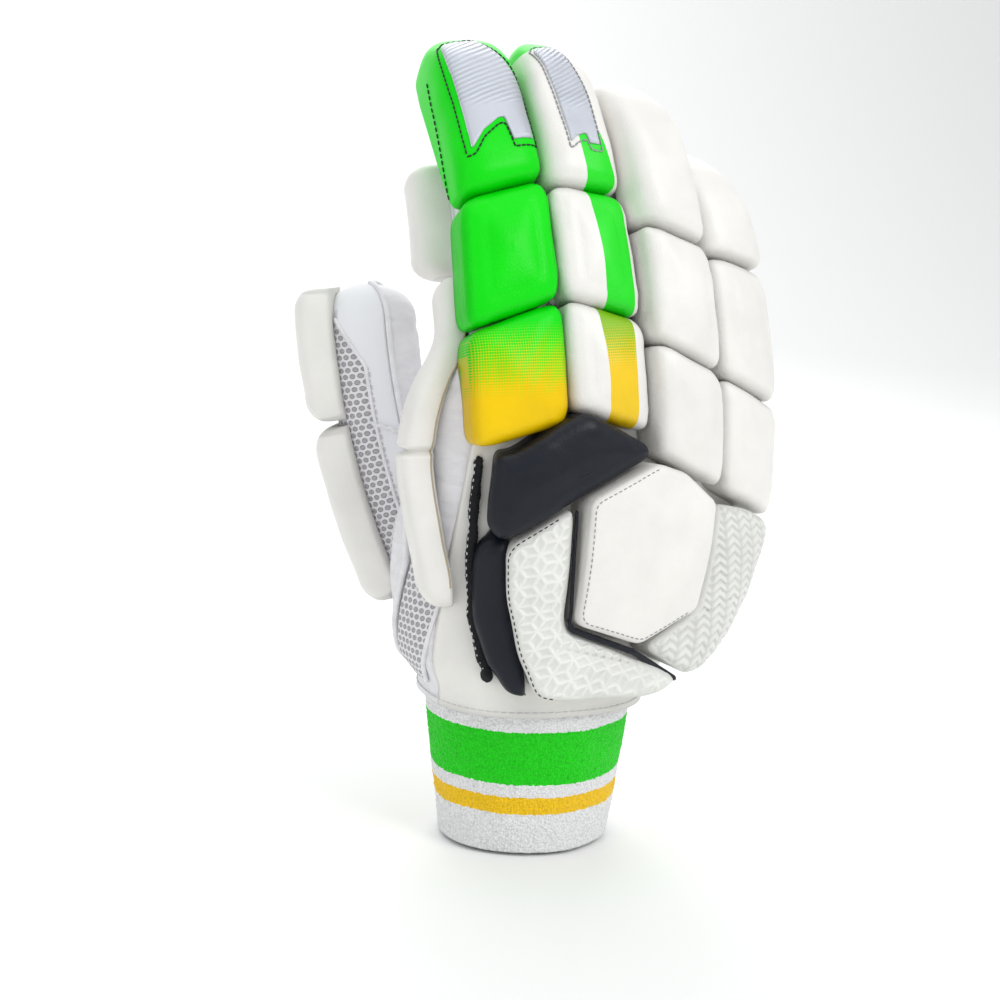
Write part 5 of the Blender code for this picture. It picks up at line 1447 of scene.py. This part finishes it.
placed(slab("heel_mesh_panel", mesh_panel_point, 60, 30, 0.0008, 0.0, OPEN_MESH,
            lambda f, g: {"up_mm": f * 40, "round_mm": g * 20, "plain": 0 * f}))
PIPING = [(-0.0880, 0.064), (-0.0875, 0.080), (-0.0835, 0.106), (-0.0900, 0.130), (-0.1000, 0.150)]
piping_level = np.linspace(PIPING[0][1], PIPING[-1][1], 40)
piping_u = np.interp(piping_level, *np.transpose(PIPING)[::-1])
cord_along("heel_panel_piping", on_hand(piping_u, piping_level, 0.0008), 0.0015, PLAIN_LEATHER)
inner_level = np.linspace(0.064, 0.108, 30)
inner_line = on_hand(-0.0655 + (inner_level - 0.064) * 0.05, inner_level, 0.0006)
cord_along("heel_panel_seam", inner_line, 0.0010, PLAIN_LEATHER)

# Bars beside the index finger: long foam rolls in white leather that guard its thumb side,
# with a thin line of cut leather edge along the seam. For each: first and last place along the
# finger, how far its foot and the rest are set toward the palm, and its thickness.
BAR_WIDTH, PAD_SINK = 0.017, 0.004
SIDE_BARS = {
    "lower_side_bar": (-0.40, 0.385, -0.30, 0.06, 0.011),
    "upper_side_bar": (0.40, 0.715, 0.52, 0.52, 0.015),
}
BAR_BEND = 0.42
BAR_SEAM, BAR_SEAM_HALF, BAR_SEAM_DEPTH = 0.47, 0.010, 0.34
CUT_EDGE = thread_of("undyed cut leather edge", "#B9A98F")


def end_rounding(f, length, radius):
    """How much of its thickness a bar keeps at f, as it is rounded toward its ends."""
    away = np.minimum(f, 1 - f) * length
    rounding = np.sqrt(np.clip(1 - (1 - away / radius) ** 2, 0, 1)) * 0.75 + 0.25
    return float(np.where(away >= radius, 1.0, rounding))


def roll_bar(name, rows, material, power=3.0, sides=40):
    """A padded bar through rows of (place, half width, foot, crest)."""
    turns = np.linspace(0, 2 * math.pi, sides, endpoint=False)
    a, b = squared(turns, power)
    points = []
    for place, half, foot, crest in rows:
        middle = foot + (crest - foot) * 0.3
        points.append(place(a * half, middle + np.where(b > 0, b * (crest - middle), b * (middle - foot))))
    points = np.array(points)
    swell = rumple(points, 0.05, 0.012, 3.0)[..., None]
    points = points + (points - points.mean(axis=1, keepdims=True)) * swell
    ends = [points[0].mean(axis=0), points[-1].mean(axis=0)]
    seam = np.broadcast_to(np.clip(-b + 0.15, 0, 1)[None, :], (len(rows), sides)).copy()
    seam[:3], seam[-3:] = 1.0, 1.0
    return form(name, np.concatenate([points.reshape(-1, 3), ends]), capped(len(rows), sides),
                material, {"seam": np.append(seam.ravel(), [1, 1])})


def hand_reach(digit, s, h):
    """How far the thumb side of the hand lies from the line of a finger at s and h."""
    middle, direction, normal = digit.frame(s)
    level, reach = float(middle[2]), 0.0
    for _ in range(4):
        ring = hand_surface(np.clip(level, SKIRT_LEVEL, HAND_HEIGHT), np.arange(240.0, 118.0, -3.0))
        heights, sides = (ring - middle) @ normal, (ring - middle) @ digit.across
        reach = -float(np.interp(-h, -heights, sides))
        place = int(np.argmin(np.abs(heights - h)))
        level += float((middle - ring[place]) @ direction)
    return reach if level < HAND_HEIGHT else 0.0


index = DIGITS["index"]
for name, (first, last, foot_drop, drop, thickness) in SIDE_BARS.items():
    length = (last - first) * FINGER_LENGTH
    toward_end = np.array([0.0, 0.003, 0.008, 0.016, 0.03, 0.05, 0.07])
    shares = np.concatenate([toward_end, np.linspace(0.1, 0.9, 40), 1 - toward_end[::-1]])
    if name == "lower_side_bar":
        shares = np.unique(np.concatenate([shares, BAR_SEAM + np.linspace(-0.03, 0.03, 13)]))
    middles = -FINGER_DEPTH * np.interp(shares, (0.0, BAR_BEND), (foot_drop, drop))
    seats = [max(index.width / 2 * index.slimming(first * FINGER_LENGTH + f * length),
                 hand_reach(index, first * FINGER_LENGTH + f * length, m)) for f, m in zip(shares, middles)]
    seats = np.convolve(np.pad(seats, 3, mode="edge"), np.ones(7) / 7, "valid")
    rows = []
    for f, seat, middle in zip(shares, seats, middles):
        s, closing = first * FINGER_LENGTH + f * length, end_rounding(f, length, BAR_WIDTH * 0.5)
        if name == "lower_side_bar":
            closing *= 1 - BAR_SEAM_DEPTH * math.exp(-((f - BAR_SEAM) / BAR_SEAM_HALF) ** 2)
        rows.append((lambda a, h, s=s, m=middle: index.point(s, -h, m - a), BAR_WIDTH / 2 * closing,
                     seat - PAD_SINK * 0.5, seat + thickness * closing))
    bar = roll_bar(name.replace("_bar", "_roll"), rows, PAD_WHITE)
    trimmed(bar, [STALL_PLUGS["index"], HAND_PLUG])
    placed(bar, name)
    inner_edge = np.array([place(-half, foot + 0.002) for place, half, foot, _ in rows[6:-6]])
    cord_along(name.replace("_bar", "_cut_edge"), laid_on(bar, inner_edge, 0.0001), 0.00034, CUT_EDGE)

# Thumb bars: two foam rolls in white leather, sewn on one above the other over the back of
# the thumb, with a gap at its joint so that it can bend.
THUMB_PAD, THUMB_BAR_FOOT = 0.0110, 0.68
THUMB_BARS = {"lower_thumb_bar": (0.02, 0.57), "upper_thumb_bar": (0.59, 0.99)}
for name, (first, last) in THUMB_BARS.items():
    length, rows = (last - first) * THUMB_LENGTH, []
    for f in np.concatenate([[0.0, 0.01, 0.03, 0.06], np.linspace(0.1, 0.9, 30), [0.94, 0.97, 0.99, 1.0]]):
        s, closing = first * THUMB_LENGTH + f * length, end_rounding(f, length, BAR_WIDTH * 0.5)
        wide = (thumb.width / 2 * thumb.slimming(s) + 0.0005) * (0.8 + 0.2 * closing)
        deep = thumb.depth / 2 * thumb.slimming(s)
        rows.append((lambda a, h, s=s: thumb.point(s, -a, h), wide,
                     deep * THUMB_BAR_FOOT, deep + THUMB_PAD * closing))
    bar = roll_bar(name.replace("_bar", "_roll"), rows, PAD_WHITE, power=3.5)
    trimmed(bar, [STALL_PLUGS["thumb"], HAND_PLUG])
    placed(bar, name)

# The heel patch doubles the palm leather where the hand rubs on the handle. It is a piece of
# the same soft leather, sewn on flat inside its rim.
HEEL_PATCH = [(-0.42, 0.470), (-0.12, 0.460), (-0.10, 0.50), (-0.22, 0.65), (-0.44, 0.63)]
HEEL_MIDDLE = (-0.28, 0.54)
patch, patch_rim = raised_block("heel_patch_leather", HEEL_PATCH, HEEL_MIDDLE, 0.0020, 0.006, PLAIN_LEATHER,
                                edge=0.001, crown=0.0002, count=120, side="palm")
placed(patch, "heel_patch")
patch_seam = outline_path(patch_rim, 0.0, 0.999, 0.0022, 0.0022, HEEL_MIDDLE, "palm")
stitches("heel_patch_stitching", patch_seam, GREY_THREAD)

# Two rows of stitching reinforce the palm round the root of the thumb.
ARC_MIDDLE, ARC_REACHES = (0.036, 0.104), {"inner": 0.0265, "outer": 0.0290}
turn = np.radians(np.linspace(70, 265, 160))
for name, reach in ARC_REACHES.items():
    arc = on_hand(ARC_MIDDLE[0] + reach * np.cos(turn), ARC_MIDDLE[1] + reach * np.sin(turn),
                  0.0004, "palm")
    stitches(f"thumb_root_{name}_stitching", arc, GREY_THREAD)

for helper in (*STALL_PLUGS.values(), *FOOT_FORMS.values(), HAND_PLUG):
    bpy.data.objects.remove(helper, do_unlink=True)
